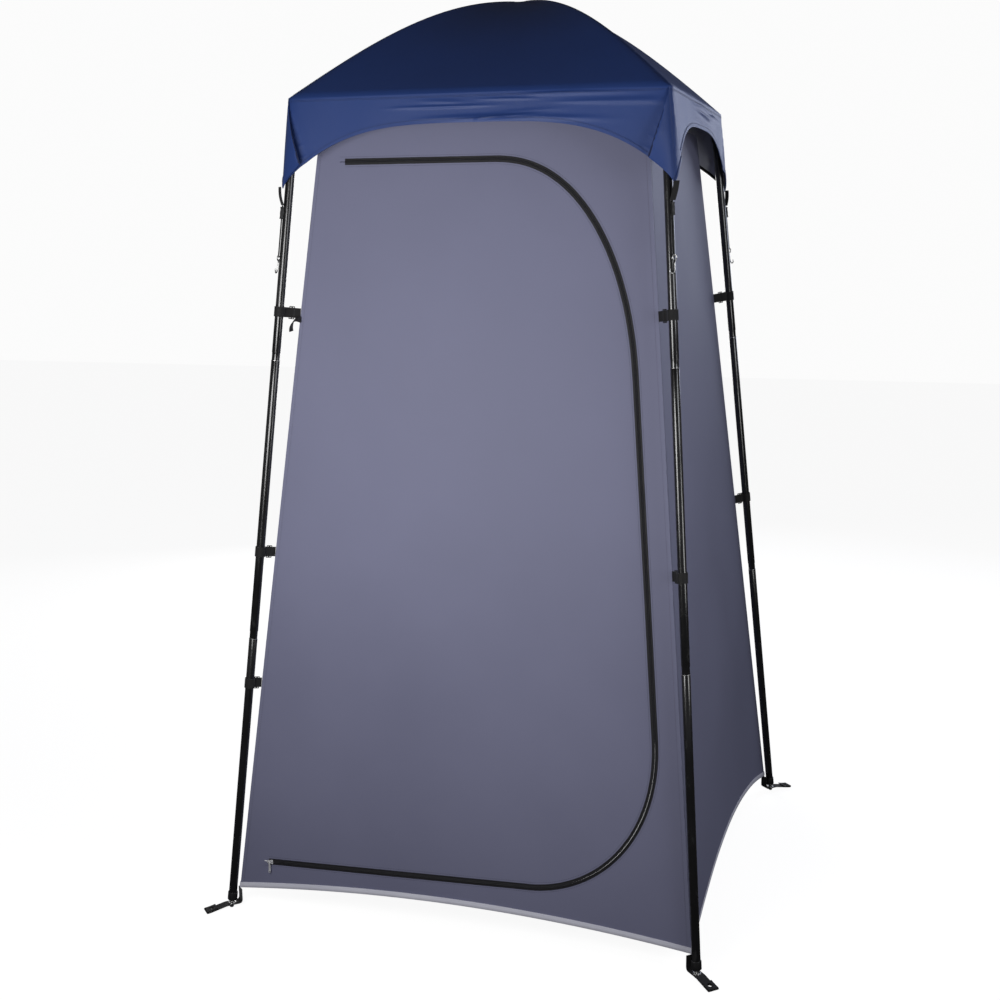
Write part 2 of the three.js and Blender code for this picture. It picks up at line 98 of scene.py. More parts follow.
def addWorld():
    world = bpy.data.worlds.new("studio")
    world.use_nodes = True
    scene.world = world
    nodes, links = world.node_tree.nodes, world.node_tree.links
    nodes.clear()
    coords = nodes.new("ShaderNodeTexCoord")
    split = nodes.new("ShaderNodeSeparateXYZ")
    height = nodes.new("ShaderNodeMapRange")
    height.inputs["From Min"].default_value = -1
    ramp = nodes.new("ShaderNodeValToRGB")
    tones = ramp.color_ramp.elements
    foot = backdrop["foot"]
    tones[0].color = tones[1].color = (foot, foot, foot * 1.2, 1)
    for position, tone in backdrop["bands"]:
        tones.new(position).color = (tone, tone, tone * 1.05, 1)
    path = nodes.new("ShaderNodeLightPath")
    mix = nodes.new("ShaderNodeMixRGB")
    mix.inputs["Color2"].default_value = (*[backdrop["seen"]] * 3, 1)
    back = nodes.new("ShaderNodeBackground")
    out = nodes.new("ShaderNodeOutputWorld")
    links.new(coords.outputs["Generated"], split.inputs[0])
    links.new(split.outputs["Z"], height.inputs["Value"])
    links.new(height.outputs["Result"], ramp.inputs[0])
    links.new(ramp.outputs["Color"], mix.inputs["Color1"])
    links.new(path.outputs["Is Camera Ray"], mix.inputs["Fac"])
    links.new(mix.outputs["Color"], back.inputs["Color"])
    links.new(back.outputs[0], out.inputs["Surface"])


def addFloor():
    clearSelection()
    bpy.ops.mesh.primitive_plane_add(size=floorLook["size"], location=(0, 0, -floorLook["drop"]))
    floor = bpy.context.object
    floor.name = "floor"
    material = bpy.data.materials.new("paleFloor")
    material.use_nodes = True
    shader = material.node_tree.nodes["Principled BSDF"]
    shader.inputs["Base Color"].default_value = (*[floorLook["tone"]] * 3, 1)
    shader.inputs["Roughness"].default_value = floorLook["rough"]
    shader.inputs["Specular IOR Level"].default_value = floorLook["gloss"]
    shader.inputs["Emission Color"].default_value = (*[floorLook["glow"]] * 3, 1)
    shader.inputs["Emission Strength"].default_value = 1
    floor.data.materials.append(material)
    floor.visible_diffuse = False  # a lit white floor would wash out the shade low on the walls
    floor.visible_glossy = False


# ---- small helpers
def clearSelection():
    if bpy.context.mode != "OBJECT":
        bpy.ops.object.mode_set(mode="OBJECT")
    bpy.ops.object.select_all(action="DESELECT")


def pick(piece):
    clearSelection()
    piece.select_set(True)
    bpy.context.view_layer.objects.active = piece


def editing(piece):
    pick(piece)
    bpy.ops.object.mode_set(mode="EDIT")
    bpy.ops.mesh.select_all(action="DESELECT")


def choose(piece, wanted, mode="FACE"):
    # selects the faces or points that pass the test
    bpy.ops.object.mode_set(mode="OBJECT")
    mesh = piece.data
    for group in (mesh.vertices, mesh.edges, mesh.polygons):
        group.foreach_set("select", [False] * len(group))
    if mode == "FACE":
        for face in mesh.polygons:
            face.select = wanted(face.center, face.normal)
    else:
        for vert in mesh.vertices:
            vert.select = wanted(vert.co, None)
    bpy.ops.object.mode_set(mode="EDIT")
    bpy.ops.mesh.select_mode(type=mode)


def applyModifier(piece, kind, **values):
    pick(piece)
    modifier = piece.modifiers.new(kind.lower(), kind)
    for key, value in values.items():
        setattr(modifier, key, value)
    bpy.ops.object.modifier_apply(modifier=modifier.name)


def bevelEdges(piece, width, segments, angle):
    applyModifier(piece, "BEVEL", width=width, segments=segments, limit_method="ANGLE",
                  angle_limit=math.radians(angle))


def smooth(piece, angle=40):
    pick(piece)
    bpy.ops.object.shade_smooth_by_angle(angle=math.radians(angle))


def drillOut(piece, spot, radius, depth=0.06, vertices=32, turn=(0, 0, 0)):
    clearSelection()
    bpy.ops.mesh.primitive_cylinder_add(vertices=vertices, radius=radius, depth=depth, location=spot,
                                        rotation=turn)
    drill = bpy.context.object
    applyModifier(piece, "BOOLEAN", object=drill, operation="DIFFERENCE", solver="EXACT")
    bpy.data.objects.remove(drill)


def applyPlace(piece):
    pick(piece)
    bpy.ops.object.transform_apply(location=True, rotation=True, scale=True)


def copyOf(piece, name, matrix):
    copy = bpy.data.objects.new(name, piece.data.copy())
    scene.collection.objects.link(copy)
    copy.data.transform(matrix)
    return copy


def joined(name, pieces):
    clearSelection()
    for piece in pieces:
        piece.select_set(True)
    bpy.context.view_layer.objects.active = pieces[0]
    if len(pieces) > 1:
        bpy.ops.object.join()
    pieces[0].name = name
    pieces[0].data.name = name
    return pieces[0]


def settle(piece, body, slotName, material, *nodes):
    if material is not None:
        piece.data.materials.clear()
        piece.data.materials.append(material)
    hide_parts(*nodes)
    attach(piece, body)
    return piece


# ---- the tent's own lines
def turned(point, angle):
    return Matrix.Rotation(angle, 3, "Z") @ Vector(point)


def legPoint(z, corner=0):
    foot = Vector((-tent["footHalf"], -tent["footHalf"], 0))
    top = turned((-tent["topHalf"], -tent["topHalf"], 0), tent["roofTurn"])
    point = foot.lerp(top, z / tent["legTop"])
    point.z = z
    return turned(point, corner * quarter)


legAxis = (legPoint(tent["legTop"]) - legPoint(0)).normalized()


def outward(z, corner=0):
    point = legPoint(z, corner)
    point.z = 0
    return point.normalized()


def legFrame(z, corner=0):
    inward = -outward(z)
    x = (inward - legAxis * inward.dot(legAxis)).normalized()
    y = legAxis.cross(x)
    matrix = Matrix((x, y, legAxis)).transposed().to_4x4()
    matrix.translation = legPoint(z)
    return Matrix.Rotation(corner * quarter, 4, "Z") @ matrix


def wallCorner(z):
    foot = legPoint(0) * (1 - tent["insetFoot"] / tent["footHalf"])
    head = legPoint(tent["legTop"]) * (1 - tent["insetTop"] / tent["topHalf"])
    point = foot.lerp(head, z / tent["legTop"])
    point.z = z
    return point


def wallHalf(z):
    left = wallCorner(z)
    return (turned(left, quarter) - left).length / 2


def wallPoint(x, z, depth=0.0, side=0):
    left = wallCorner(z)
    right = turned(left, quarter)
    across = (right - left).normalized()
    inward = Vector((0, 0, 1)).cross(across)
    return turned((left + right) / 2 + across * x + inward * depth, side * quarter)


def diagonalPoint(r, z, corner=0):
    point = turned((-r * math.sqrt(0.5), -r * math.sqrt(0.5), 0), tent["roofTurn"])
    point.z = z
    return turned(point, corner * quarter)


# ---- materials
def newMaterial(name):
    material = bpy.data.materials.new(name)
    material.use_nodes = True
    nodes = material.node_tree.nodes
    return material, nodes, material.node_tree.links, nodes["Principled BSDF"]


def mathNode(nodes, links, operation, a, b):
    node = nodes.new("ShaderNodeMath")
    node.operation = operation
    for socket, value in zip(node.inputs, (a, b)):
        if value is None:
            continue
        if isinstance(value, (int, float)):
            socket.default_value = value
        else:
            links.new(value, socket)
    return node.outputs[0]


def noiseNode(nodes, links, vector, scale, detail=4.0):
    node = nodes.new("ShaderNodeTexNoise")
    node.inputs["Scale"].default_value = scale
    node.inputs["Detail"].default_value = detail
    links.new(vector, node.inputs["Vector"])
    return node.outputs["Fac"]


def rangeNode(nodes, links, value, low, high, fromLow=0.3, fromHigh=0.7):
    node = nodes.new("ShaderNodeMapRange")
    limits = {"From Min": fromLow, "From Max": fromHigh, "To Min": low, "To Max": high}
    for key, number in limits.items():
        node.inputs[key].default_value = number
    links.new(value, node.inputs["Value"])
    return node.outputs["Result"]


def mixNode(nodes, links, factor, first, second):
    node = nodes.new("ShaderNodeMixRGB")
    links.new(factor, node.inputs["Fac"])
    for key, value in (("Color1", first), ("Color2", second)):
        if isinstance(value, tuple):
            node.inputs[key].default_value = (*value, 1)
        else:
            links.new(value, node.inputs[key])
    return node.outputs["Color"]


def bumpNode(nodes, links, height, strength, distance, after=None):
    node = nodes.new("ShaderNodeBump")
    node.inputs["Strength"].default_value = strength
    node.inputs["Distance"].default_value = distance
    links.new(height, node.inputs["Height"])
    if after is not None:
        links.new(after, node.inputs["Normal"])
    return node.outputs["Normal"]


def wovenMaterial(name, look):
    # plain weave on the cloth's own flat size, with slow changes of tone and small creases
    material, nodes, links, shader = newMaterial(name)
    coords = nodes.new("ShaderNodeTexCoord")
    split = nodes.new("ShaderNodeSeparateXYZ")
    links.new(coords.outputs["UV"], split.inputs[0])
    threads = [
        mathNode(nodes, links, "SINE", mathNode(nodes, links, "MULTIPLY", split.outputs[axis],
                 2 * math.pi / look["thread"]), None)
        for axis in ("X", "Y")
    ]
    weave = mathNode(nodes, links, "MULTIPLY", threads[0], threads[1])
    tone = noiseNode(nodes, links, coords.outputs["Object"], look["patch"])
    fine = noiseNode(nodes, links, coords.outputs["UV"], 900, 2)
    crease = noiseNode(nodes, links, coords.outputs["Object"], look["crease"], 3)
    colour = mixNode(nodes, links, rangeNode(nodes, links, tone, 0, 1), look["shade"], look["colour"])
    colour = mixNode(nodes, links, rangeNode(nodes, links, weave, 0.0, look["threadTone"], -1, 1),
                     colour, look["shade"])
    colour = mixNode(nodes, links, rangeNode(nodes, links, fine, 0, 0.25), colour, look["colour"])
    links.new(colour, shader.inputs["Base Color"])
    links.new(rangeNode(nodes, links, tone, *look["rough"]), shader.inputs["Roughness"])
    shader.inputs["Specular IOR Level"].default_value = look["gloss"]
    shader.inputs["Sheen Weight"].default_value = look["sheen"]
    shader.inputs["Sheen Roughness"].default_value = 0.4
    shader.inputs["Sheen Tint"].default_value = (*look["sheenTint"], 1)
    normal = bumpNode(nodes, links, crease, look["creaseBump"], 0.004)
    normal = bumpNode(nodes, links, weave, 0.35, look["thread"] * 0.12, normal)
    links.new(normal, shader.inputs["Normal"])
    return material


def hardMaterial(name, look):
    # smooth surface with a fine grain, slow changes of gloss and a few rubbed marks
    material, nodes, links, shader = newMaterial(name)
    coords = nodes.new("ShaderNodeTexCoord")
    mapping = nodes.new("ShaderNodeMapping")
    mapping.inputs["Scale"].default_value = look["stretch"]
    links.new(coords.outputs["Object"], mapping.inputs["Vector"])
    grain = noiseNode(nodes, links, mapping.outputs[0], look["grain"], 3)
    tone = noiseNode(nodes, links, coords.outputs["Object"], 14)
    marks = noiseNode(nodes, links, mapping.outputs[0], look["grain"] * 0.12, 6)
    worn = rangeNode(nodes, links, marks, 0, look["wear"], 0.6, 0.72)
    colour = mixNode(nodes, links, rangeNode(nodes, links, tone, 0, 1), look["shade"], look["colour"])
    colour = mixNode(nodes, links, worn, colour, look["worn"])
    links.new(colour, shader.inputs["Base Color"])
    links.new(rangeNode(nodes, links, marks, *look["rough"]), shader.inputs["Roughness"])
    shader.inputs["Metallic"].default_value = look["metal"]
    shader.inputs["Coat Weight"].default_value = look["coat"]
    shader.inputs["Coat Roughness"].default_value = 0.12
    links.new(bumpNode(nodes, links, grain, look["bump"], 0.0004), shader.inputs["Normal"])
    return material


sewn = {"thread": 0.0006, "threadTone": 0.7, "patch": 30.0, "crease": 90.0, "creaseBump": 0.1,
        "rough": (0.5, 0.65), "gloss": 0.4, "sheen": 0.1, "sheenTint": (1, 1, 1)}
looks = {
    "navyCloth": {
        "colour": (0.028, 0.066, 0.250), "shade": (0.022, 0.052, 0.200), "thread": 0.0007,
        "threadTone": 0.5, "patch": 3.0, "crease": 9.0, "creaseBump": 0.16, "rough": (0.42, 0.52),
        "gloss": 0.42, "sheen": 0.08, "sheenTint": (0.55, 0.62, 0.95),
    },
    "silverCloth": {
        "colour": (0.50, 0.51, 0.55), "shade": (0.40, 0.41, 0.45), "thread": 0.0007,
        "threadTone": 0.25, "patch": 4.0, "crease": 12.0, "creaseBump": 0.2, "rough": (0.38, 0.5),
        "gloss": 0.6, "sheen": 0.0, "sheenTint": (1, 1, 1),
    },
    "greyCloth": {
        "colour": (0.208, 0.213, 0.320), "shade": (0.172, 0.177, 0.270), "thread": 0.0006,
        "threadTone": 0.35, "patch": 2.2, "crease": 4.0, "creaseBump": 0.1, "rough": (0.55, 0.66),
        "gloss": 0.28, "sheen": 0.08, "sheenTint": (0.85, 0.86, 1.0),
    },
    "hemTape": {
        "colour": (0.88, 0.88, 0.98), "shade": (0.76, 0.76, 0.88), "thread": 0.0011,
        "threadTone": 0.5, "patch": 8.0, "crease": 40.0, "creaseBump": 0.15, "rough": (0.55, 0.7),
        "gloss": 0.35, "sheen": 0.15, "sheenTint": (1, 1, 1),
    },
    "blackWebbing": {
        "colour": (0.016, 0.015, 0.015), "shade": (0.006, 0.006, 0.006), "thread": 0.0018,
        "threadTone": 0.8, "patch": 20.0, "crease": 60.0, "creaseBump": 0.2, "rough": (0.6, 0.8),
        "gloss": 0.35, "sheen": 0.25, "sheenTint": (0.8, 0.8, 0.85),
    },
    "zipTape": {
        "colour": (0.016, 0.015, 0.020), "shade": (0.008, 0.008, 0.010), "thread": 0.0009,
        "threadTone": 0.8, "patch": 20.0, "crease": 80.0, "creaseBump": 0.1, "rough": (0.55, 0.7),
        "gloss": 0.4, "sheen": 0.1, "sheenTint": (0.8, 0.8, 0.9),
    },
    "stitchGrey": {**sewn, "colour": (0.10, 0.10, 0.15), "shade": (0.06, 0.06, 0.09)},
    "stitchNavy": {**sewn, "colour": (0.014, 0.024, 0.085), "shade": (0.008, 0.014, 0.05)},
}
moulded = {"wear": 0.4, "stretch": (1, 1, 1), "metal": 0.0, "coat": 0.0, "bump": 0.2}
hardLooks = {
    "blackTube": {
        **moulded, "colour": (0.010, 0.010, 0.011), "shade": (0.006, 0.006, 0.006),
        "worn": (0.05, 0.05, 0.05), "wear": 0.5, "grain": 500.0, "stretch": (1, 1, 0.3),
        "rough": (0.16, 0.3), "coat": 0.6, "bump": 0.12,
    },
    "steel": {
        **moulded, "colour": (0.62, 0.62, 0.61), "shade": (0.46, 0.46, 0.46),
        "worn": (0.30, 0.29, 0.28), "wear": 0.5, "grain": 900.0, "stretch": (1, 1, 0.15),
        "rough": (0.22, 0.4), "metal": 1.0,
    },
    "castZinc": {
        **moulded, "colour": (0.78, 0.78, 0.80), "shade": (0.62, 0.62, 0.64),
        "worn": (0.42, 0.41, 0.40), "grain": 1200.0, "rough": (0.3, 0.48), "metal": 0.3, "coat": 0.1,
    },
    "blackPlastic": {
        **moulded, "colour": (0.012, 0.012, 0.013), "shade": (0.007, 0.007, 0.007),
        "worn": (0.04, 0.04, 0.04), "grain": 1400.0, "rough": (0.35, 0.55), "bump": 0.3,
    },
    "glassFibre": {
        **moulded, "colour": (0.014, 0.014, 0.015), "shade": (0.008, 0.008, 0.009),
        "worn": (0.05, 0.05, 0.05), "grain": 700.0, "rough": (0.28, 0.42), "coat": 0.2,
    },
    "blackCord": {
        **moulded, "colour": (0.014, 0.014, 0.015), "shade": (0.006, 0.006, 0.006),
        "worn": (0.03, 0.03, 0.03), "grain": 900.0, "stretch": (1, 1, 1.6), "rough": (0.6, 0.8),
        "bump": 0.8,
    },
}
woven = {name: wovenMaterial(name, look) for name, look in looks.items()}
hard = {name: hardMaterial(name, look) for name, look in hardLooks.items()}
print("materials made")


# ---- cloth: a grid laid where a rule says, with its flat size kept as its UV map
def clothPiece(name, columns, rows, place, cut, away, thick=0.001, inside=None, outer=None, weld=False):
    clearSelection()
    bpy.ops.mesh.primitive_grid_add(x_subdivisions=columns, y_subdivisions=rows, size=1)
    piece = bpy.context.object
    piece.name = piece.data.name = name
    mesh = piece.data
    for vert in mesh.vertices:
        vert.co = place(vert.co.x + 0.5, vert.co.y + 0.5)
    for loop in mesh.uv_layers.active.data:
        u, v = loop.uv
        loop.uv = cut(u, v) if callable(cut) else (u * cut[0], v * cut[1])
    if weld:
        editing(piece)
        bpy.ops.mesh.select_all(action="SELECT")
        bpy.ops.mesh.remove_doubles(threshold=0.00005)
        bpy.ops.object.mode_set(mode="OBJECT")
    mesh.update()
    if sum(away(face.center).dot(face.normal) * face.area for face in mesh.polygons) < 0:
        mesh.flip_normals()
    if outer is not None:
        mesh.materials.append(outer)
        mesh.materials.append(inside or outer)
    applyModifier(piece, "SOLIDIFY", thickness=thick, offset=-1, use_even_offset=False,
                  material_offset=0 if inside is None else 1, material_offset_rim=0)
    smooth(piece, 50)
    return piece


def awayFromAxis(point):
    return Vector((point.x, point.y, 0.25))


# a row of sewn stitches, each one copied from a single small one
def stitchRow(name, points, normal, material, pitch=0.0042, length=0.003, thick=0.00045):
    clearSelection()
    bpy.ops.mesh.primitive_uv_sphere_add(segments=5, ring_count=4, radius=1)
    single = bpy.context.object
    shape = [v.co.copy() for v in single.data.vertices]
    faces = [tuple(f.vertices) for f in single.data.polygons]
    bpy.data.objects.remove(single)
    spots, travelled, due = [], 0.0, pitch / 2
    for a, b in zip(points, points[1:]):
        span = (b - a).length
        while span > 0 and due <= travelled + span:
            spots.append((a.lerp(b, (due - travelled) / span), (b - a).normalized()))
            due += pitch
        travelled += span
    verts, polygons = [], []
    for spot, along in spots:
        out = normal(spot)
        out = (out - along * out.dot(along)).normalized()
        side = along.cross(out)
        start = len(verts)
        verts += [spot + side * (c.x * thick) + out * (c.y * thick) + along * (c.z * length / 2)
                  for c in shape]
        polygons += [tuple(i + start for i in face) for face in faces]
    mesh = bpy.data.meshes.new(name)
    mesh.from_pydata(verts, [], polygons)
    mesh.shade_smooth()
    mesh.materials.append(material)
    piece = bpy.data.objects.new(name, mesh)
    scene.collection.objects.link(piece)
    pick(piece)
    bpy.ops.object.mode_set(mode="EDIT")
    bpy.ops.mesh.select_all(action="SELECT")
    bpy.ops.mesh.normals_make_consistent(inside=False)
    bpy.ops.object.mode_set(mode="OBJECT")
    return piece


# ---- the tie cords, which come first
tie = {
    "top": 1.6116, "end": 1.505, "thick": 0.003, "standOff": 0.003, "points": 15,
    "wire": 0.0013, "ring": 0.0052, "ringDrop": 0.0008, "ringOut": 0.0006,
    "adjusterAt": 1.606, "adjuster": (0.0085, 0.0075, 0.026), "waist": 0.72,
    "hook": [(-1.9, 11.8), (-4.6, 9.2), (-4.9, 5.2), (-2.4, 2.4), (2.2, 2.3), (4.9, 5.2), (4.6, 9.2),
             (2.2, 13.2), (0.5, 18), (0.2, 26), (-0.8, 33), (-4.4, 38.2), (-9.6, 38.4), (-12.4, 34.2),
             (-12, 30)],
}
tiedCorners = corners[:3]  # the back left one has no line to show


def cordPoint(z, corner=0):
    return legPoint(z, corner) + outward(z, corner) * (tent["legRadius"] + tie["standOff"])


def tubeCurve(name, points, radius, smoothness=3, sides=4):
    data = bpy.data.curves.new(name, "CURVE")
    data.dimensions = "3D"
    data.bevel_depth = radius
    data.bevel_resolution = sides
    data.resolution_u = smoothness
    data.use_fill_caps = True
    spline = data.splines.new("POLY")
    spline.points.add(len(points) - 1)
    for spot, point in zip(spline.points, points):
        spot.co = (*point, 1)
    spline.use_smooth = True
    piece = bpy.data.objects.new(name, data)
    scene.collection.objects.link(piece)
    return piece


def smoothLine(points, steps):
    # a line through the points, rounded between them
    line = []
    last = len(points) - 1
    for i in range(last):
        p0, p1, p2, p3 = (points[max(0, min(last, i + k))] for k in (-1, 0, 1, 2))
        for s in range(steps):
            t = s / steps
            line.append(0.5 * (2 * p1 + (p2 - p0) * t + (2 * p0 - 5 * p1 + 4 * p2 - p3) * t * t
                               + (3 * p1 - p0 - 3 * p2 + p3) * t ** 3))
    return line + [points[-1]]


def asMesh(piece):
    pick(piece)
    bpy.ops.object.convert(target="MESH")
    return bpy.context.object


def makeHook(corner):
    name = corners[corner]
    start = cordPoint(tie["end"], corner)
    out = outward(tie["end"], corner)
    side = Vector((0, 0, 1)).cross(out)
    down = -turned(legAxis, corner * quarter)
    line = smoothLine([start + side * (a / 1000) + down * (d / 1000) for a, d in tie["hook"]], 5)
    wire = asMesh(tubeCurve("tie_hook_" + name + "_wire", line, tie["wire"]))
    clearSelection()
    bpy.ops.mesh.primitive_torus_add(major_radius=tie["ring"], minor_radius=tie["wire"] * 0.8,
                                     major_segments=32, minor_segments=10)
    ring = bpy.context.object
    turn = Matrix((side, down, out)).transposed().to_4x4()
    turn.translation = start + down * (tie["ring"] + tie["ringDrop"]) + out * tie["ringOut"]
    ring.data.transform(turn)
    hook = joined("tie_hook_" + name + "_bent", [wire, ring])
    smooth(hook, 60)
    return settle(hook, "tie_hook_" + name, "steel", hard["steel"], "tie_hook_" + name)


def makeAdjuster(corner):
    # the small moulded toggle the cord runs through, under the cover's tail
    name = corners[corner]
    clearSelection()
    bpy.ops.mesh.primitive_cube_add(size=1)
    piece = bpy.context.object
    piece.scale = tie["adjuster"]
    applyPlace(piece)
    long = tie["adjuster"][2]
    editing(piece)
    bpy.ops.mesh.select_all(action="SELECT")
    bpy.ops.mesh.subdivide(number_cuts=3)
    for level in (-0.25, 0.25):
        choose(piece, lambda at, n, level=level: abs(at.z - level * long) < long * 0.06, "VERT")
        bpy.ops.transform.resize(value=(tie["waist"], tie["waist"], 1),
                                 center_override=(0, 0, level * long))
    bpy.ops.object.mode_set(mode="OBJECT")
    applyModifier(piece, "BEVEL", width=0.0009, segments=2)
    applyModifier(piece, "SUBSURF", levels=1, render_levels=1)
    place = legFrame(tie["adjusterAt"], corner)
    place.translation = cordPoint(tie["adjusterAt"] - long * 0.4, corner)
    piece.data.transform(place)
    piece.name = piece.data.name = "tie_adjuster_" + name
    smooth(piece, 50)
    return settle(piece, "frame_and_tent", "hub_plastic", hard["blackPlastic"])


def makeTieCords():
    for corner in range(len(tiedCorners)):
        name = corners[corner]
        last = tie["points"] - 1
        line = [cordPoint(tie["top"] + (tie["end"] - tie["top"]) * i / last, corner)
                for i in range(tie["points"])]
        cord = tubeCurve("tie_cord_" + name + "_line", line, tie["thick"] / 2)
        settle(cord, "frame_and_tent", "cord", hard["blackCord"], "tie_cord_" + name)
        hook = makeHook(corner)
        adjuster = makeAdjuster(corner)
        tuple(line[0])


addCamera()
addLights()
addWorld()
addFloor()
makeTieCords()
print("camera, floor, lights and tie cords made")


# ---- rain cover: one sheet from the crown to the hem of its four skirts
cover = {
    "middle": 0.061, "tip": 0.190, "flare": 0.015, "power": 3.6, "thick": 0.0012, "panelSag": 0.012,
    "dartSlope": 0.36, "dartStep": 0.003, "flapLift": 0.0026, "flapTilt": 0.017, "columns": 60,
    "domeRows": 26, "skirtRows": 40, "hem": 0.009, "wrinkles": 13, "seed": 5, "round": 46,
    "dartDepth": 0.11, "ridge": (0.35, 0.004), "valley": (0.5, 0.011, 0.008), "foldFade": 0.03,
    "foldStart": 0.006, "crowd": 0.6, "ease": 0.0025, "flapTop": 0.003, "flapOpen": 0.09,
    "flapShadowStrip": (0.98, 1.05, 0.0009), "seamAside": 0.0045,
}


def skirtDrop(t):
    return cover["middle"] + (cover["tip"] - cover["middle"]) * abs(t) ** cover["power"]


def makeWrinkles():
    draw = random.Random(cover["seed"])
    rows = []
    for side in range(4):
        rows.append([{
            "t": draw.uniform(-0.15, 0.8), "half": draw.uniform(0.16, 0.42),
            "depth": draw.uniform(0.007, 0.07), "wide": draw.uniform(0.0022, 0.0046),
            "high": draw.uniform(0.0011, 0.0028), "slope": draw.uniform(-0.007, 0.007),
        } for _ in range(cover["wrinkles"])])
    return rows


wrinkles = makeWrinkles()


def skirtOffset(side, t, depth):
    # how far the skirt stands out of its plane: corner darts and tension folds
    fromCorner = (1 - abs(t)) * tent["eaveHalf"]
    dart = cover["dartSlope"] * depth
    step = cover["dartStep"] * min(1, depth / cover["dartDepth"])
    beyond = fromCorner - dart
    if beyond >= 0:
        ridge, ridgeWide = cover["ridge"]
        valley, valleyAt, valleyWide = cover["valley"]
        off = step * ridge * math.exp(-(beyond / ridgeWide) ** 2)
        off -= step * valley * math.exp(-((beyond - valleyAt) / valleyWide) ** 2)
    else:
        off = step * (fromCorner / max(dart, 1e-6)) ** 0.8
    clear = max(0, min(1, beyond / cover["foldFade"]))
    for fold in wrinkles[side]:
        along = (t - fold["t"]) / fold["half"]
        if abs(along) < 1:
            across = (depth - fold["depth"] - fold["slope"] * along) / fold["wide"]
            off += fold["high"] * math.exp(-across * across) * (1 - along * along) ** 2 * clear
    return off * min(1, depth / cover["foldStart"])


def skirtPoint(side, t, depth, lift=0.0):
    half = tent["eaveHalf"] + cover["flare"] * depth / cover["tip"]
    soft = roundCorner(t)
    point = Vector((t * half * soft, -half * soft - skirtOffset(side, t, depth) - lift,
                    tent["eaveHeight"] - depth))
    return turned(point, side * quarter + tent["roofTurn"])


def roundCorner(t):
    return 1 / (1 + abs(t) ** cover["round"]) ** (1 / cover["round"])


def domePoint(side, t, q):
    half = tent["eaveHalf"] * q * roundCorner(t)
    sag = cover["panelSag"] * (1 - t * t) * math.sin(math.pi * q) ** 1.2
    z = tent["eaveHeight"] + tent["domeRise"] * math.cos(quarter * q) - sag
    ease = cover["ease"] * math.sin(3.1 * math.pi * q + 2 * side) * (1 - t * t) * q
    return turned((t * half, -half + ease, z), side * quarter + tent["roofTurn"])


def crowded(f):
    # places along one side, gathered towards its corners
    return (1 - cover["crowd"]) * f + cover["crowd"] * math.sin(f * quarter)


def aroundCover(u):
    # the side, and the place along it from -1 to 1
    if u > 0.9999999:
        return 0, -1.0
    around = min(u * 4, 3.999999)
    side = int(around)
    return side, crowded(2 * (around - side) - 1)


def coverPlace(u, v):
    side, t = aroundCover(u)
    domeShare = cover["domeRows"] / (cover["domeRows"] + cover["skirtRows"])
    if v <= domeShare:
        return domePoint(side, t, v / domeShare)
    s = (v - domeShare) / (1 - domeShare)
    return skirtPoint(side, t, s * skirtDrop(t))


def sideLine(rule, count=240):
    line = [rule(side, crowded(2 * i / count - 1)) for side in range(4) for i in range(count)]
    return line + [line[0]]


def flapPlace(side, hand, near=0.0, far=1.0, lower=0.0):
    # the spare cloth at a corner, folded over on the skirt with its edge free
    def place(u, v):
        u = near + (far - near) * u
        drop = cover["tip"]
        for _ in range(6):
            t = 1 - u * cover["dartSlope"] * drop / tent["eaveHalf"]
            drop = skirtDrop(t)
        depth = cover["flapTop"] + (drop - cover["flapTop"]) * v
        t = 1 - u * cover["dartSlope"] * depth / tent["eaveHalf"]
        tilt = cover["flapTilt"] * u * min(1, depth / cover["flapOpen"])
        return skirtPoint(side, hand * t, depth, cover["flapLift"] + tilt - lower)
    return place


def makeFlaps():
    flaps, edges = [], []
    for side in (0, 2):
        for hand in (-1, 1):
            flaps.append(clothPiece("flap", 12, 30, flapPlace(side, hand), (0.07, 0.19), awayFromAxis,
                                    cover["thick"], woven["silverCloth"], woven["navyCloth"]))
            # a thin strip of stitch navy tucked under each flap's free edge: painted shadow along the
            # fold
            line = flapPlace(side, hand, *cover["flapShadowStrip"])
            edges.append(clothPiece("edge", 1, 30, line, (0.004, 0.19), awayFromAxis, 0.0009))
    edge = settle(joined("canopy_flap_painted_shadow", edges), "frame_and_tent", "canopy_fabric",
                  woven["stitchNavy"])
    return settle(joined("canopy_corner_flaps", flaps), "frame_and_tent", "canopy_fabric", None), edge


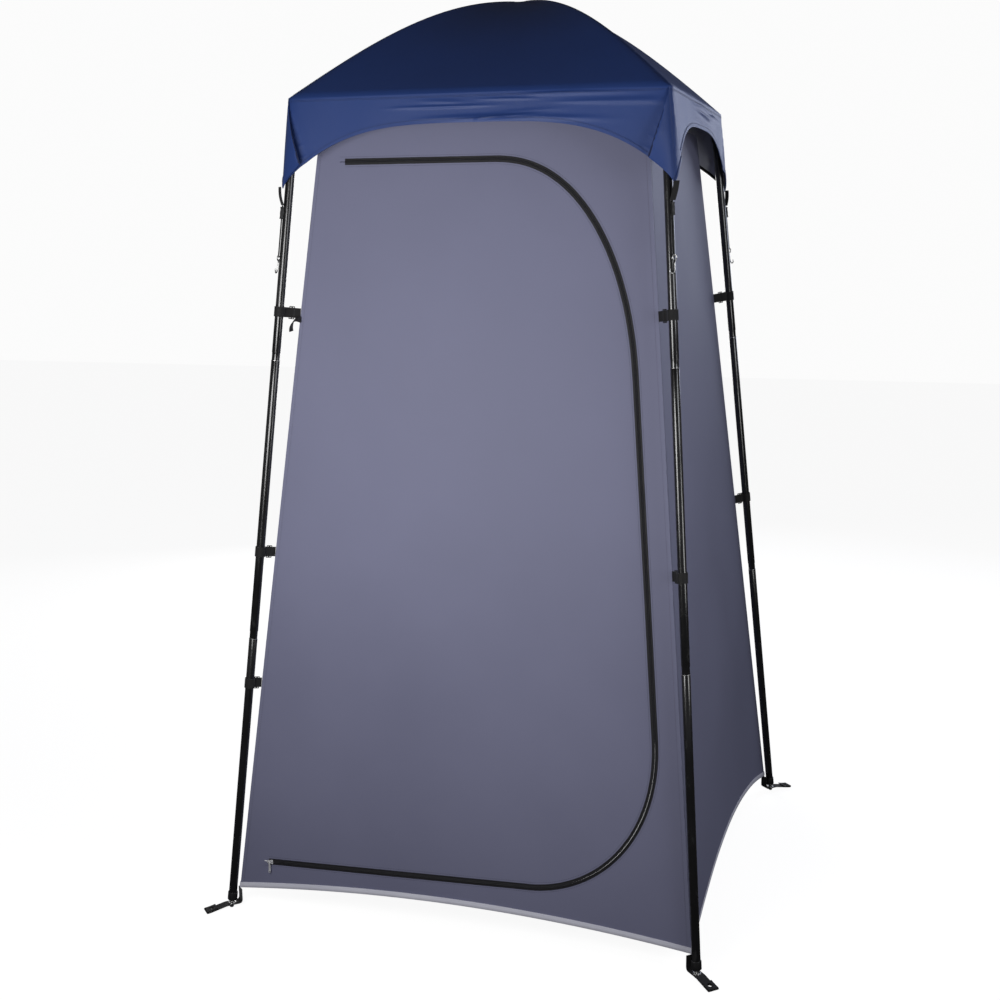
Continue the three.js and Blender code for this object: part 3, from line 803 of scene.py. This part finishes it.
def makeCover():
    rows = cover["domeRows"] + cover["skirtRows"]
    sheet = clothPiece("canopy_cloth", cover["columns"] * 4, rows, coverPlace, (3.36, 0.62),
                       lambda p: Vector((p.x, p.y, p.z - 1.6)), cover["thick"],
                       woven["silverCloth"], woven["navyCloth"], weld=True)
    settle(sheet, "frame_and_tent", "canopy_fabric", None, "canopy_dome",
           *["canopy_valance_" + side for side in sides])

    def hemPlace(lift, low, high):
        def place(u, v):
            side, t = aroundCover(u)
            return skirtPoint(side, t, skirtDrop(t) - low - v * (high - low), lift)
        return place

    fold = clothPiece("canopy_hem_fold", 400, 3, hemPlace(0.0009, -0.0004, cover["hem"]), (4.2, 0.01),
                      awayFromAxis, 0.001, None, woven["navyCloth"], weld=True)
    settle(fold, "frame_and_tent", "canopy_fabric", woven["navyCloth"])
    binding = clothPiece("canopy_hem_binding", 400, 2, hemPlace(-0.0014, -0.0002, cover["hem"]),
                         (4.2, 0.01), awayFromAxis, 0.0008, None, woven["blackWebbing"], weld=True)
    settle(binding, "frame_and_tent", "webbing", woven["blackWebbing"])
    rowsOfStitches = []
    for depthAt, lift in ((lambda t: skirtDrop(t) - cover["hem"] * 0.8, 0.0012),
                          (lambda t: 0.006, 0.0001), (lambda t: 0.0085, 0.0001)):
        line = sideLine(lambda side, t: skirtPoint(side, t, depthAt(t), lift))
        rowsOfStitches.append(stitchRow("stitches", line, awayFromAxis, woven["stitchNavy"]))
    for corner in range(4):
        for nudge in (-cover["seamAside"], cover["seamAside"]):
            line = []
            for i in range(60):
                q = 0.04 + 0.94 * i / 59
                t = 1 - abs(nudge) / (tent["eaveHalf"] * q)
                side = corner if nudge < 0 else (corner + 1) % 4
                line.append(domePoint(side, t if nudge < 0 else -t, q) + Vector((0, 0, 0.0002)))
            rowsOfStitches.append(stitchRow("stitches", line, lambda p: Vector((p.x, p.y, 0.5)),
                                            woven["stitchNavy"]))
    sewing = joined("canopy_stitches", rowsOfStitches)
    settle(sewing, "frame_and_tent", "canopy_fabric", woven["stitchNavy"])
    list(makeFlaps())


# ---- roof poles
poles = {"radius": 0.0046, "drop": 0.022, "end": 0.549, "crossLift": 0.011, "steps": 72, "extra": 0.009,
         "collarsAt": (0.3, 0.7), "collar": 0.0008}


def poleHeight(r):
    reach = tent["eaveHalf"] * math.sqrt(2)
    rise = (tent["domeRise"] + poles["extra"]) * math.cos(quarter * r / reach)
    return tent["eaveHeight"] - poles["drop"] + rise


def makePoles():
    for name, under, corner in (("roof_pole_under", True, 0), ("roof_pole_over", False, 1)):
        line = []
        for i in range(poles["steps"] + 1):
            r = poles["end"] * (1 - 2 * i / poles["steps"])
            dip = poles["crossLift"] * math.cos(quarter * r / poles["end"]) ** 6 if under else 0
            line.append(diagonalPoint(r, poleHeight(r) - dip, corner))
        rod = asMesh(tubeCurve(name + "_rod", line, poles["radius"], 3, 6))
        collars = []
        for spot in poles["collarsAt"]:
            index = round(poles["steps"] * spot)
            part = asMesh(tubeCurve("collar", line[index - 2:index + 3],
                                    poles["radius"] + poles["collar"], 3, 6))
            applyModifier(part, "BEVEL", width=0.0005, segments=2)
            collars.append(part)
        rod = joined("roof_poles" if under else "roof_pole_over_rod", [rod, *collars])
        smooth(rod, 50)
        settle(rod, "frame_and_tent", "roof_pole", hard["glassFibre"], name)


# ---- legs
leg = {"foot": 0.022, "end": 1.812, "joints": (0.644, 1.275), "gap": 0.0004, "collar": 0.016,
       "lip": 0.0014, "lipOut": 0.00025, "sides": 40, "swage": 0.93}
footCap = {"radius": 0.0112, "long": 0.018, "middle": 0.0085, "rim": 0.0016, "tread": 0.0012,
           "wall": 0.0035, "bore": 0.004, "shoulder": 0.0012, "collar": 0.0006}
footPin = {"radius": 0.005, "long": 0.0225, "middle": 0.01135, "tip": 0.0024, "flangeAt": 0.0185,
           "flange": 0.0022}


def makeTube(length, collarAtFoot):
    radius = tent["legRadius"]
    clearSelection()
    bpy.ops.mesh.primitive_cylinder_add(vertices=leg["sides"], radius=radius, depth=length,
                                        location=(0, 0, length / 2), end_fill_type="NGON")
    tube = bpy.context.object
    applyPlace(tube)
    editing(tube)
    cuts = [0.3 * length, 0.7 * length]
    if collarAtFoot:
        cuts = [0.0012, leg["collar"], leg["collar"] + 0.002] + cuts
    for cut in cuts:
        bpy.ops.mesh.select_all(action="SELECT")
        bpy.ops.mesh.bisect(plane_co=(0, 0, cut), plane_no=(0, 0, 1))
    if collarAtFoot:  # the swaged end, a little narrower where it meets the next tube
        choose(tube, lambda at, n: at.z < leg["collar"] + 0.0005, "VERT")
        bpy.ops.transform.resize(value=(leg["swage"], leg["swage"], 1), center_override=(0, 0, 0))
    bpy.ops.object.mode_set(mode="OBJECT")
    bevelEdges(tube, 0.0007, 2, 50)
    smooth(tube, 45)
    return tube


def makeLip():
    # the bare steel edge that glints where two sections meet
    clearSelection()
    bpy.ops.mesh.primitive_cylinder_add(vertices=leg["sides"], radius=tent["legRadius"] + leg["lipOut"],
                                        depth=leg["lip"], location=(0, 0, 0))
    lip = bpy.context.object
    editing(lip)
    choose(lip, lambda at, n: abs(n.z) > 0.9)
    bpy.ops.mesh.inset(thickness=0.0006)
    bpy.ops.object.mode_set(mode="OBJECT")
    bevelEdges(lip, 0.0003, 2, 40)
    smooth(lip, 45)
    return lip


def makeCap():
    # moulded foot cap round the tube's lower end
    clearSelection()
    bpy.ops.mesh.primitive_cylinder_add(vertices=40, radius=footCap["radius"], depth=footCap["long"],
                                        location=(0, 0, footCap["middle"]))
    cap = bpy.context.object
    applyPlace(cap)
    editing(cap)
    choose(cap, lambda at, n: n.z < -0.9)
    bpy.ops.mesh.inset(thickness=footCap["rim"])
    bpy.ops.transform.translate(value=(0, 0, -footCap["tread"]))
    bpy.ops.mesh.inset(thickness=footCap["wall"])
    bpy.ops.mesh.extrude_region_move(TRANSFORM_OT_translate={"value": (0, 0, footCap["bore"])})
    choose(cap, lambda at, n: n.z > 0.9)
    bpy.ops.mesh.inset(thickness=footCap["shoulder"])
    bpy.ops.transform.translate(value=(0, 0, footCap["collar"]))
    bpy.ops.object.mode_set(mode="OBJECT")
    bevelEdges(cap, 0.0005, 2, 30)
    smooth(cap, 40)
    return cap


def makePin():
    clearSelection()
    bpy.ops.mesh.primitive_cylinder_add(vertices=32, radius=footPin["radius"], depth=footPin["long"],
                                        location=(0, 0, footPin["middle"]))
    pin = bpy.context.object
    applyPlace(pin)
    editing(pin)
    choose(pin, lambda at, n: n.z < -0.9)
    bpy.ops.mesh.bevel(offset=footPin["tip"], segments=5, affect="EDGES")
    bpy.ops.mesh.select_all(action="SELECT")
    bpy.ops.mesh.bisect(plane_co=(0, 0, footPin["flangeAt"]), plane_no=(0, 0, 1))
    choose(pin, lambda at, n: at.z > footPin["flangeAt"] - 0.001 and abs(n.z) < 0.2)
    bpy.ops.mesh.extrude_region_shrink_fatten(TRANSFORM_OT_shrink_fatten={"value": footPin["flange"]})
    bpy.ops.object.mode_set(mode="OBJECT")
    bevelEdges(pin, 0.0003, 2, 40)
    smooth(pin, 45)
    return pin


def makeLegs():
    scaleUp = 1 / legAxis.z
    low, high = leg["joints"]
    spans = {"lower": (leg["foot"], low - leg["gap"]), "middle": (low, high - leg["gap"]),
             "upper": (high, leg["end"])}
    lip, cap, pin = makeLip(), makeCap(), makePin()
    for part, (start, end) in spans.items():
        tube = makeTube((end - start) * scaleUp, part != "lower")
        for corner, name in enumerate(corners):
            copy = copyOf(tube, "leg_" + part + "_" + name + "_tube", legFrame(start, corner))
            settle(copy, "frame_and_tent", "leg_tube", hard["blackTube"], "leg_" + part + "_" + name)
        bpy.data.objects.remove(tube)
    for corner, name in enumerate(corners):
        rings = [copyOf(lip, "lip", legFrame(z - leg["gap"] / 2, corner)) for z in leg["joints"]]
        settle(joined("leg_lips_" + name, rings), "frame_and_tent", "steel", hard["steel"])
        piece = copyOf(cap, "leg_cap_" + name, legFrame(leg["foot"] - 0.002, corner))
        settle(piece, "frame_and_tent", "hub_plastic", hard["blackPlastic"])
        piece = copyOf(pin, "foot_pin_" + name + "_turned", Matrix.Translation(legPoint(0, corner)))
        settle(piece, "frame_and_tent", "steel", hard["steel"], "foot_pin_" + name)
    for spare in (lip, cap, pin):
        bpy.data.objects.remove(spare)


makeCover()
print("cover made")
makePoles()
makeLegs()
print("poles and legs made")


# ---- inner tent
walls = {
    "hemCorner": 0.045, "arch": {"front": 0.032, "right": 0.078, "back": 0.078, "left": 0.078},
    "thick": 0.001, "columns": 44, "rows": 80, "wave": 0.0032, "ripple": 0.0009, "edgeSeam": 0.0085,
    "tape": 0.0125, "tapeThick": 0.0008, "stitch": (0.0055, 0.0036, 0.0004),
}
door = {
    "margin": 0.055, "top": 1.704, "foot": 0.116, "footRise": 0.024, "topCorner": (0.1, 1.24),
    "footCorner": (0.34, 0.49), "power": 2.3, "step": 0.012, "hingeFold": 0.03, "stitches": 0.0105,
}


def hemHeight(fraction, side):
    return walls["hemCorner"] + walls["arch"][sides[side]] * (1 - fraction * fraction)


def clothWave(x, z, side):
    # slow swells and a little slack, fading out at the corners, the hem and the top
    half = wallHalf(z)
    edge = min(1, (half - abs(x)) / 0.11)
    ends = min(1, max(0, z - 0.06) / 0.35) * min(1, (tent["wallTop"] - z) / 0.2)
    place = Vector((x * 2.1 + side * 7.3, z * 1.15, 0.4))
    small = Vector((x * 9 + side * 3.1, z * 4.2, 1.7))
    swell = walls["wave"] * noise.noise(place) + walls["ripple"] * noise.noise(small)
    return swell * max(0, edge) * max(0, ends)


def clothPoint(x, z, side=0, depth=0.0):
    return wallPoint(x, z, clothWave(x, z, side) + depth, side)


def awayFromSide(side):
    out = turned((0, -1, 0.08), side * quarter)
    return lambda point: out


def doorHalf(z):
    return wallHalf(z) - door["margin"]


def doorFootHeight(fraction):
    return door["foot"] + door["footRise"] * (fraction + 1) / (door["footCorner"][0] + 1)


def cornerArc(corner, endZ, start, end, power):
    points = []
    for i in range(41):
        angle = start + (end - start) * i / 40
        fraction = corner[0] + (1 - corner[0]) * max(0, math.cos(angle)) ** (2 / power)
        z = corner[1] + (endZ - corner[1]) * max(0, math.sin(angle)) ** (2 / power)
        points.append((fraction * doorHalf(z), z))
    return points


def evenly(line, step):
    # the same line with its points evenly spaced
    total = sum(math.dist(a, b) for a, b in zip(line, line[1:]))
    count = max(2, round(total / step))
    result, travelled, index = [line[0]], 0.0, 0
    for i in range(1, count):
        due = total * i / count
        while travelled + math.dist(line[index], line[index + 1]) < due:
            travelled += math.dist(line[index], line[index + 1])
            index += 1
        share = (due - travelled) / math.dist(line[index], line[index + 1])
        result.append(tuple(a + (b - a) * share for a, b in zip(line[index], line[index + 1])))
    return result + [line[-1]]


def makeZipLine():
    top, foot = door["topCorner"], door["footCorner"]
    line = [(-doorHalf(door["top"]), door["top"])]
    line += cornerArc(top, door["top"], quarter, 0, door["power"])
    line += cornerArc(foot, doorFootHeight(foot[0]), 0, quarter, 2)
    for i in range(1, 25):
        fraction = foot[0] - i * (1 + foot[0]) / 24
        z = doorFootHeight(fraction)
        line.append((fraction * doorHalf(z), z))
    return evenly(line, door["step"])


def sideways(line, distance):
    # the line moved over, away from the door where the distance is positive
    moved = []
    for i, (x, z) in enumerate(line):
        before, after = line[max(i - 1, 0)], line[min(i + 1, len(line) - 1)]
        dx, dz = after[0] - before[0], after[1] - before[1]
        length = math.hypot(dx, dz)
        moved.append((x - dz / length * distance, z + dx / length * distance))
    return moved


zipLine = makeZipLine()
hingeHeights = [door["foot"] + (door["top"] - door["foot"]) * i / 60 for i in range(61)]
hingeLine = evenly([(-doorHalf(z), z) for z in hingeHeights], door["step"])
hingeFoot = wallPoint(-doorHalf(door["foot"]), door["foot"])
hingeTop = wallPoint(-doorHalf(door["top"]), door["top"])
foldWay = (hingeFoot - hingeTop).normalized().cross(Vector((0, -1, 0))).normalized()
if foldWay.x < 0:
    foldWay = -foldWay


def hangDoor(piece):
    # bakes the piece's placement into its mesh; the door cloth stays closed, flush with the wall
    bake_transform(piece)


def seamRows(side):
    rows = []
    for edge in (-1, 1):
        line = []
        for i in range(90):
            z = hemHeight(1, side) + 0.01 + (tent["wallTop"] - hemHeight(1, side) - 0.02) * i / 89
            line.append(clothPoint(edge * (wallHalf(z) - walls["edgeSeam"]), z, side, -0.0001))
        rows.append(stitchRow("stitches", line, awayFromSide(side), woven["stitchGrey"],
                              *walls["stitch"]))
    hem = []
    for i in range(90):
        t = -0.995 + 1.99 * i / 89
        z = hemHeight(t, side) + walls["tape"] * 0.8
        hem.append(clothPoint(t * wallHalf(z), z, side, -walls["tapeThick"] - 0.0007))
    rows.append(stitchRow("stitches", hem, awayFromSide(side), woven["hemTape"], *walls["stitch"]))
    sewing = joined("wall_stitches_" + sides[side], rows)
    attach(sewing, "frame_and_tent")
    return sewing


def hemTape(side):
    def place(u, v):
        t = -1 + 2 * u
        low = hemHeight(t, side)
        if v < 0.4:
            z, depth = low + walls["tape"] * (1 - v / 0.4), -0.0008
        elif v > 0.6:
            z, depth = low + walls["tape"] * (v - 0.6) / 0.4, 0.0028
        else:
            z, depth = low - 0.0008, 0.001
        x = t * (wallHalf(z) + 0.0006)
        return clothPoint(x, max(z, low - 0.001), side, depth)
    tape = clothPiece("hem_tape_" + sides[side], 60, 10, place, (1.08, 0.028), awayFromSide(side),
                      walls["tapeThick"])
    return settle(tape, "frame_and_tent", "wall_fabric", woven["hemTape"])


def makeWall(side):
    def place(u, v):
        t = -1 + 2 * u
        low = hemHeight(t, side)
        z = low + (tent["wallTop"] - low) * v
        return clothPoint(t * wallHalf(z), z, side)

    def flatOf(u, v):
        return (u - 0.5) * 2 * wallHalf(v * tent["wallTop"]), v * tent["wallTop"]

    name = sides[side]
    wall = clothPiece("wall_" + name + "_cloth", walls["columns"], walls["rows"], place, flatOf,
                      awayFromSide(side), walls["thick"])
    settle(wall, "frame_and_tent", "wall_fabric", woven["greyCloth"], "wall_" + name)
    tape, sewing = hemTape(side), seamRows(side)


def makeFrontWall():
    # the cloth round the doorway, in rings from the wall's edge in to the door's line
    outline = [*sideways(zipLine, 0.0006), *hingeLine[1:-1]]
    middle = 0.9
    edge = []
    for x, z in outline:
        fraction = max(-1, min(1, x / doorHalf(z)))
        rise = (z - middle) / ((door["top"] if z > middle else 2 * middle - door["foot"]) - middle)
        reach = max(abs(fraction), abs(rise))
        a, b = fraction / reach, rise / reach
        low = hemHeight(a, 0)
        edge.append([a, middle + b * (tent["wallTop"] - middle if b > 0 else middle - low)])
    for a in (-1, 1):
        for z in (tent["wallTop"], hemHeight(1, 0)):
            nearest = min(edge, key=lambda p: math.hypot((p[0] - a) * wallHalf(z), p[1] - z))
            nearest[0], nearest[1] = a, z
    count = len(outline)

    def flatOf(u, v):
        i = round(u * count) % count
        x0, z0 = edge[i][0] * wallHalf(edge[i][1]), edge[i][1]
        x1, z1 = outline[i]
        return x0 + (x1 - x0) * v, z0 + (z1 - z0) * v

    wall = clothPiece("wall_front_cloth", count, 8, lambda u, v: clothPoint(*flatOf(u, v)), flatOf,
                      awayFromSide(0), walls["thick"], weld=True)
    settle(wall, "frame_and_tent", "wall_fabric", woven["greyCloth"], "wall_front")
    tape, sewing = hemTape(0), seamRows(0)
    zipRow = stitchRow("zip_stitches_wall", [clothPoint(x, z, 0, -0.0001) for x, z in
                       sideways(zipLine, door["stitches"])], awayFromSide(0), woven["stitchGrey"])
    settle(zipRow, "frame_and_tent", "wall_fabric", woven["stitchGrey"])


def makeDoor():
    outline = [*sideways(zipLine, -0.0006), *hingeLine[1:-1]]
    outline[0] = (-doorHalf(door["top"]), door["top"] - 0.0006)
    count = len(outline)
    middle = (-0.03, 0.88)

    def flatOf(u, v):
        x, z = outline[round(u * count) % count]
        share = 1 - v
        return middle[0] + (x - middle[0]) * share, middle[1] + (z - middle[1]) * share

    cloth = clothPiece("door_cloth", count, 26, lambda u, v: clothPoint(*flatOf(u, v)), flatOf,
                       awayFromSide(0), walls["thick"], weld=True)
    cloth.data.materials.append(woven["greyCloth"])
    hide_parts("door_panel")
    hangDoor(cloth)
    zipRow = stitchRow("zip_stitches_door", [clothPoint(x, z, 0, -0.0001) for x, z in
                       sideways(zipLine, -door["stitches"]) if x > -doorHalf(z) + 0.004],
                       awayFromSide(0), woven["stitchGrey"])
    hangDoor(zipRow)


# ---- zip
zipper = {"tape": 0.0068, "depth": 0.0009, "tapeThick": 0.0006, "tooth": 0.0026, "pitch": 0.0018,
          "high": 0.0016, "inset": 0.0025, "start": -0.456, "travelSide": 0.0002}
sliderShape = {"middle": (-0.0005, -0.0029, 0), "size": (0.015, 0.0024, 0.011), "tail": 0.55,
               "tailAt": (-0.008, -0.0029, 0), "rim": (0.0013, -0.0007), "dish": (0.0011, 0.0004),
               "bridge": (0.0048, 0.0042, 0.0026), "bridgeWire": 0.0009}
pullShape = {"out": 0.0074, "drop": 0.0125, "size": (0.0052, 0.0011, 0.0245), "panel": (-0.006, -0.0205),
             "ends": 0.62, "inset": 0.0009, "dish": 0.55, "holeDown": 0.0222, "holeRadius": 0.0013}


def zipHalf(side, name):
    line = [(x, z) for x, z in zipLine if x > -doorHalf(z) + zipper["inset"]]
    count = len(line) - 1
    near, far = sideways(line, side * zipper["travelSide"]), sideways(line, side * zipper["tape"])

    def place(u, v):
        i = round(u * count)
        x, z = (a + (b - a) * v for a, b in zip(near[i], far[i]))
        return clothPoint(x, z, 0, -zipper["depth"])

    tape = clothPiece(name + "_strip", count, 3, place, (3.1, 0.0068), awayFromSide(0),
                      zipper["tapeThick"])
    fine = evenly(line, zipper["pitch"] / 2)
    spots = {s: sideways(fine, side * (zipper["travelSide"] + zipper["tooth"] * s))
             for s in (0, 0.25, 0.5, 0.75, 1)}
    section = [(0, 0), (0.0, 0.6), (0.25, 0.95), (0.5, 1.0), (0.75, 0.85), (1, 0.4), (1, 0)]
    last = len(fine) - 1

    def coil(u, v):
        i = round(u * last)
        at, high = section[round(v * (len(section) - 1))]
        lift = zipper["high"] * high * (1 if i % 2 else 0.62)
        x, z = spots[at][i]
        return clothPoint(x, z, 0, -zipper["depth"] - lift)

    teeth = clothPiece(name + "_coil", last, len(section) - 1, coil, (3.1, 0.004),
                       awayFromSide(0), 0.0003)
    teeth = joined(name + "_sewn", [tape, teeth])
    teeth.data.materials.clear()
    teeth.data.materials.append(woven["zipTape"])
    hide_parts(name)
    return teeth


def zipFrame():
    z = doorFootHeight(zipper["start"] / doorHalf(door["foot"]))
    slope = door["footRise"] / ((1 + door["footCorner"][0]) * doorHalf(door["foot"]))
    origin = wallPoint(zipper["start"], z)
    x = (wallPoint(zipper["start"] + 0.001, z + slope * 0.001) - origin).normalized()
    rise = wallPoint(zipper["start"], z + 0.001) - origin
    y = rise.cross(x).normalized()
    matrix = Matrix((x, y, x.cross(y))).transposed().to_4x4()
    matrix.translation = origin
    return matrix


def makeSlider():
    # body lies along x; y goes into the tent, so the front is towards -y
    clearSelection()
    bpy.ops.mesh.primitive_cube_add(size=1, location=sliderShape["middle"])
    body = bpy.context.object
    body.scale = sliderShape["size"]
    applyPlace(body)
    editing(body)
    choose(body, lambda at, n: abs(n.x) > 0.9 and at.x < 0)
    bpy.ops.transform.resize(value=(1, 1, sliderShape["tail"]), center_override=sliderShape["tailAt"])
    choose(body, lambda at, n: n.y < -0.9)
    for inset, forward in (sliderShape["rim"], sliderShape["dish"]):
        bpy.ops.mesh.inset(thickness=inset)
        bpy.ops.transform.translate(value=(0, forward, 0))
    bpy.ops.object.mode_set(mode="OBJECT")
    bevelEdges(body, 0.0006, 3, 30)
    wide, out, high = sliderShape["bridge"]
    loop = []
    for i in range(15):
        angle = math.pi * i / 14
        loop.append(Vector((wide * math.cos(angle), -out - high * math.sin(angle), 0)))
    bridge = asMesh(tubeCurve("bridge", loop, sliderShape["bridgeWire"], 3, 4))
    slider = joined("zip_slider_cast", [body, bridge])
    slider.data.transform(zipFrame())
    smooth(slider, 45)
    settle(slider, "zip_slider", "steel", hard["castZinc"], "zip_slider")


def makePull():
    out = pullShape["out"]
    clearSelection()
    bpy.ops.mesh.primitive_cube_add(size=1, location=(0, -out, -pullShape["drop"]))
    pull = bpy.context.object
    pull.scale = pullShape["size"]
    applyPlace(pull)
    editing(pull)
    for cut in pullShape["panel"]:
        bpy.ops.mesh.select_all(action="SELECT")
        bpy.ops.mesh.bisect(plane_co=(0, 0, cut), plane_no=(0, 0, 1))
    choose(pull, lambda at, n: at.z > -0.001 or at.z < -0.024, "VERT")
    bpy.ops.transform.resize(value=(pullShape["ends"], 1, 1), center_override=(0, 0, 0))
    choose(pull, lambda at, n: abs(n.y) > 0.9 and -0.02 < at.z < -0.006)
    bpy.ops.mesh.inset(thickness=pullShape["inset"])
    bpy.ops.transform.resize(value=(1, pullShape["dish"], 1), center_override=(0, -out, 0))
    bpy.ops.object.mode_set(mode="OBJECT")
    drillOut(pull, (0, -out, -pullShape["holeDown"]), pullShape["holeRadius"], 0.01, 24, (quarter, 0, 0))
    bevelEdges(pull, 0.0003, 2, 40)
    pull.data.transform(zipFrame())
    pull.name = pull.data.name = "zip_pull_tab"
    smooth(pull, 40)
    settle(pull, "zip_pull", "steel", hard["castZinc"], "zip_pull")


# ---- webbing: straps and their glides, foot tabs, cover tails
webbing = {"width": 0.022, "thick": 0.0012, "loop": 0.0117, "glide": (0.0125, 0.0285, 0.0022),
           "tab": 0.024, "tabThick": 0.0016, "tail": 0.014, "heights": (1.382, 0.845), "third": 0.540,
           "bar": 0.0017, "pinHole": (-0.0012, 0.0062), "pegHole": (0.048, 0.0056),
           "grommet": (0.0076, 0.0021, 0.0106), "tailFoot": 1.612, "looseWidth": 0.015}
tabLine = [(-21.7, 43), (-21.7, 30), (-21.7, 18), (-20.4, 13), (-16.5, 10.9), (-8, 10.7), (0, 10.7),
           (8, 10.7), (14, 10.4), (24, 8.5), (35, 6.3), (46, 4.0), (56, 2.2), (60.2, 1.9), (61.6, 3.0),
           (60.4, 4.5), (56, 4.7), (46, 6.3), (36, 8.5)]


def bandPiece(name, path, across, width, thick, middle):
    last = len(path) - 1
    total = sum((b - a).length for a, b in zip(path, path[1:]))

    def place(u, v):
        i = round(u * last)
        return path[i] + across(i / last) * ((v - 0.5) * width)

    return clothPiece(name, last, 4, place, (total, width), lambda p: p - middle, thick)


def makeGlide():
    wide, high, thick = webbing["glide"]
    clearSelection()
    bpy.ops.mesh.primitive_plane_add(size=1)
    glide = bpy.context.object
    glide.scale = (wide, high, 1)
    applyPlace(glide)
    editing(glide)
    bpy.ops.mesh.select_all(action="SELECT")
    bpy.ops.mesh.bisect(plane_co=(0, 0, 0), plane_no=(1, 0, 0))
    choose(glide, lambda at, n: True)
    bpy.ops.mesh.inset(thickness=webbing["bar"], use_individual=True)
    bpy.ops.mesh.delete(type="FACE")
    bpy.ops.object.mode_set(mode="OBJECT")
    applyModifier(glide, "SOLIDIFY", thickness=thick, offset=0)
    bevelEdges(glide, 0.0006, 2, 40)
    smooth(glide, 40)
    return glide


def makeStrap(name, corner, z, glide):
    place = legFrame(z, corner)
    reach = (legPoint(z) - wallCorner(z)).length - 0.0012
    radius = webbing["loop"]
    glideAt = min(0.030, 0.58 * reach)
    flat = [(reach, 0.0011), (glideAt + 0.006, 0.0011), (glideAt, 0.0024), (glideAt - 0.006, 0.0016)]
    for i in range(31):
        angle = math.radians(24 + 312 * i / 30)
        flat.append((radius * math.cos(angle), radius * math.sin(angle)))
    flat += [(glideAt - 0.006, -0.0014), (glideAt, -0.0016), (glideAt + 0.006, -0.0007),
             (reach, -0.0007)]
    path = smoothLine([place @ Vector((x, y, 0)) for x, y in flat], 2)
    tilt = (place.to_3x3() @ Vector((0, 0, 1))).normalized()
    bands = [bandPiece("band", path, lambda s: tilt, webbing["width"], webbing["thick"],
                       place.translation)]
    if name == "strap_upper_front_left":  # the loose end, creased over
        loose = [(0.050, -0.003, -0.014), (0.044, -0.008, -0.013), (0.037, -0.011, -0.013),
                 (0.031, -0.012, -0.017), (0.028, -0.010, -0.025), (0.028, -0.007, -0.034),
                 (0.030, -0.005, -0.041)]
        start, end = Vector((0.25, 0.5, 1)), Vector((1, 0.75, 0.25))
        line = smoothLine([place @ Vector(p) for p in loose], 4)
        turn = place.to_3x3()
        bands.append(bandPiece("band", line, lambda s: turn @ start.lerp(end, s).normalized(),
                               webbing["looseWidth"], webbing["thick"], place.translation))
    piece = joined(name + "_web", bands)
    settle(piece, "frame_and_tent", "webbing", woven["blackWebbing"], name)
    buckle = copyOf(glide, name.replace("strap", "glide"), place @ Matrix.Translation((glideAt, 0, 0))
                    @ Matrix.Rotation(quarter, 4, "X"))
    settle(buckle, "frame_and_tent", "hub_plastic", hard["blackPlastic"])


def makeFootTabs():
    out = Vector((-1, -1, 0)).normalized()
    side = Vector((0, 0, 1)).cross(out)
    foot = legPoint(0)
    line = smoothLine([foot + out * (r / 1000) + Vector((0, 0, h / 1000)) for r, h in tabLine], 3)
    tab = bandPiece("tab", line, lambda s: side, webbing["tab"], webbing["tabThick"],
                    foot + Vector((0, 0, -0.1)))
    for reach, radius in (webbing["pinHole"], webbing["pegHole"]):
        drillOut(tab, foot + out * reach, radius)
    wide, thick, height = webbing["grommet"]
    middle = foot + out * webbing["pinHole"][0] + Vector((0, 0, height))
    clearSelection()
    bpy.ops.mesh.primitive_torus_add(major_radius=wide, minor_radius=thick, major_segments=40,
                                     minor_segments=12, location=middle)
    ring = bpy.context.object
    ring.scale = (1, 1, 0.72)
    applyPlace(ring)
    smooth(ring, 60)
    smooth(tab, 40)
    for corner, name in enumerate(corners):
        turn = Matrix.Rotation(corner * quarter, 4, "Z")
        settle(copyOf(tab, "foot_tab_" + name + "_web", turn), "frame_and_tent", "webbing",
               woven["blackWebbing"], "foot_tab_" + name)
        settle(copyOf(ring, "foot_grommet_" + name, turn), "frame_and_tent", "steel", hard["steel"])
    bpy.data.objects.remove(tab)
    bpy.data.objects.remove(ring)


def makeCoverTails():
    top = tent["eaveHeight"] - cover["tip"] + 0.003
    low = webbing["tailFoot"]
    side = Vector((0, 0, 1)).cross(outward(top))
    tipReach = (tent["eaveHalf"] + cover["flare"]) * math.sqrt(2) - 0.002
    lowReach = Vector((legPoint(low).x, legPoint(low).y)).length + tent["legRadius"] + 0.0036
    start = diagonalPoint(tipReach, top)
    end = outward(low) * lowReach + Vector((0, 0, low))
    path = []
    for i in range(13):
        s = i / 12
        path.append(start.lerp(end, s) + outward(low) * (0.0022 * math.sin(math.pi * s)))
    tail = bandPiece("tail", path, lambda s: side, webbing["tail"], webbing["thick"],
                     Vector((0, 0, low)))
    for corner, name in enumerate(corners):
        settle(copyOf(tail, "tie_tab_" + name + "_web", Matrix.Rotation(corner * quarter, 4, "Z")),
               "frame_and_tent", "webbing", woven["blackWebbing"], "tie_tab_" + name)
    bpy.data.objects.remove(tail)


for side in (1, 2, 3):
    makeWall(side)
makeFrontWall()
makeDoor()
print("inner tent and door made")
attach(zipHalf(1, "zip_tape_wall"), "frame_and_tent")
hangDoor(zipHalf(-1, "zip_tape_door"))
makeSlider()
makePull()
print("zip made")
glideShape = makeGlide()
for corner, name in enumerate(corners):
    for level, z in zip(("upper", "lower"), webbing["heights"]):
        makeStrap("strap_" + level + "_" + name, corner, z, glideShape)
makeStrap("strap_third_front_left", 0, webbing["third"], glideShape)
bpy.data.objects.remove(glideShape)
makeFootTabs()
makeCoverTails()
print("webbing made")

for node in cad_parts.values():
    if not node.hide_render:  # only the corner hubs are left showing
        node.data.materials.clear()
        node.data.materials.append(hard["blackPlastic"])

bpy.context.view_layer.update()
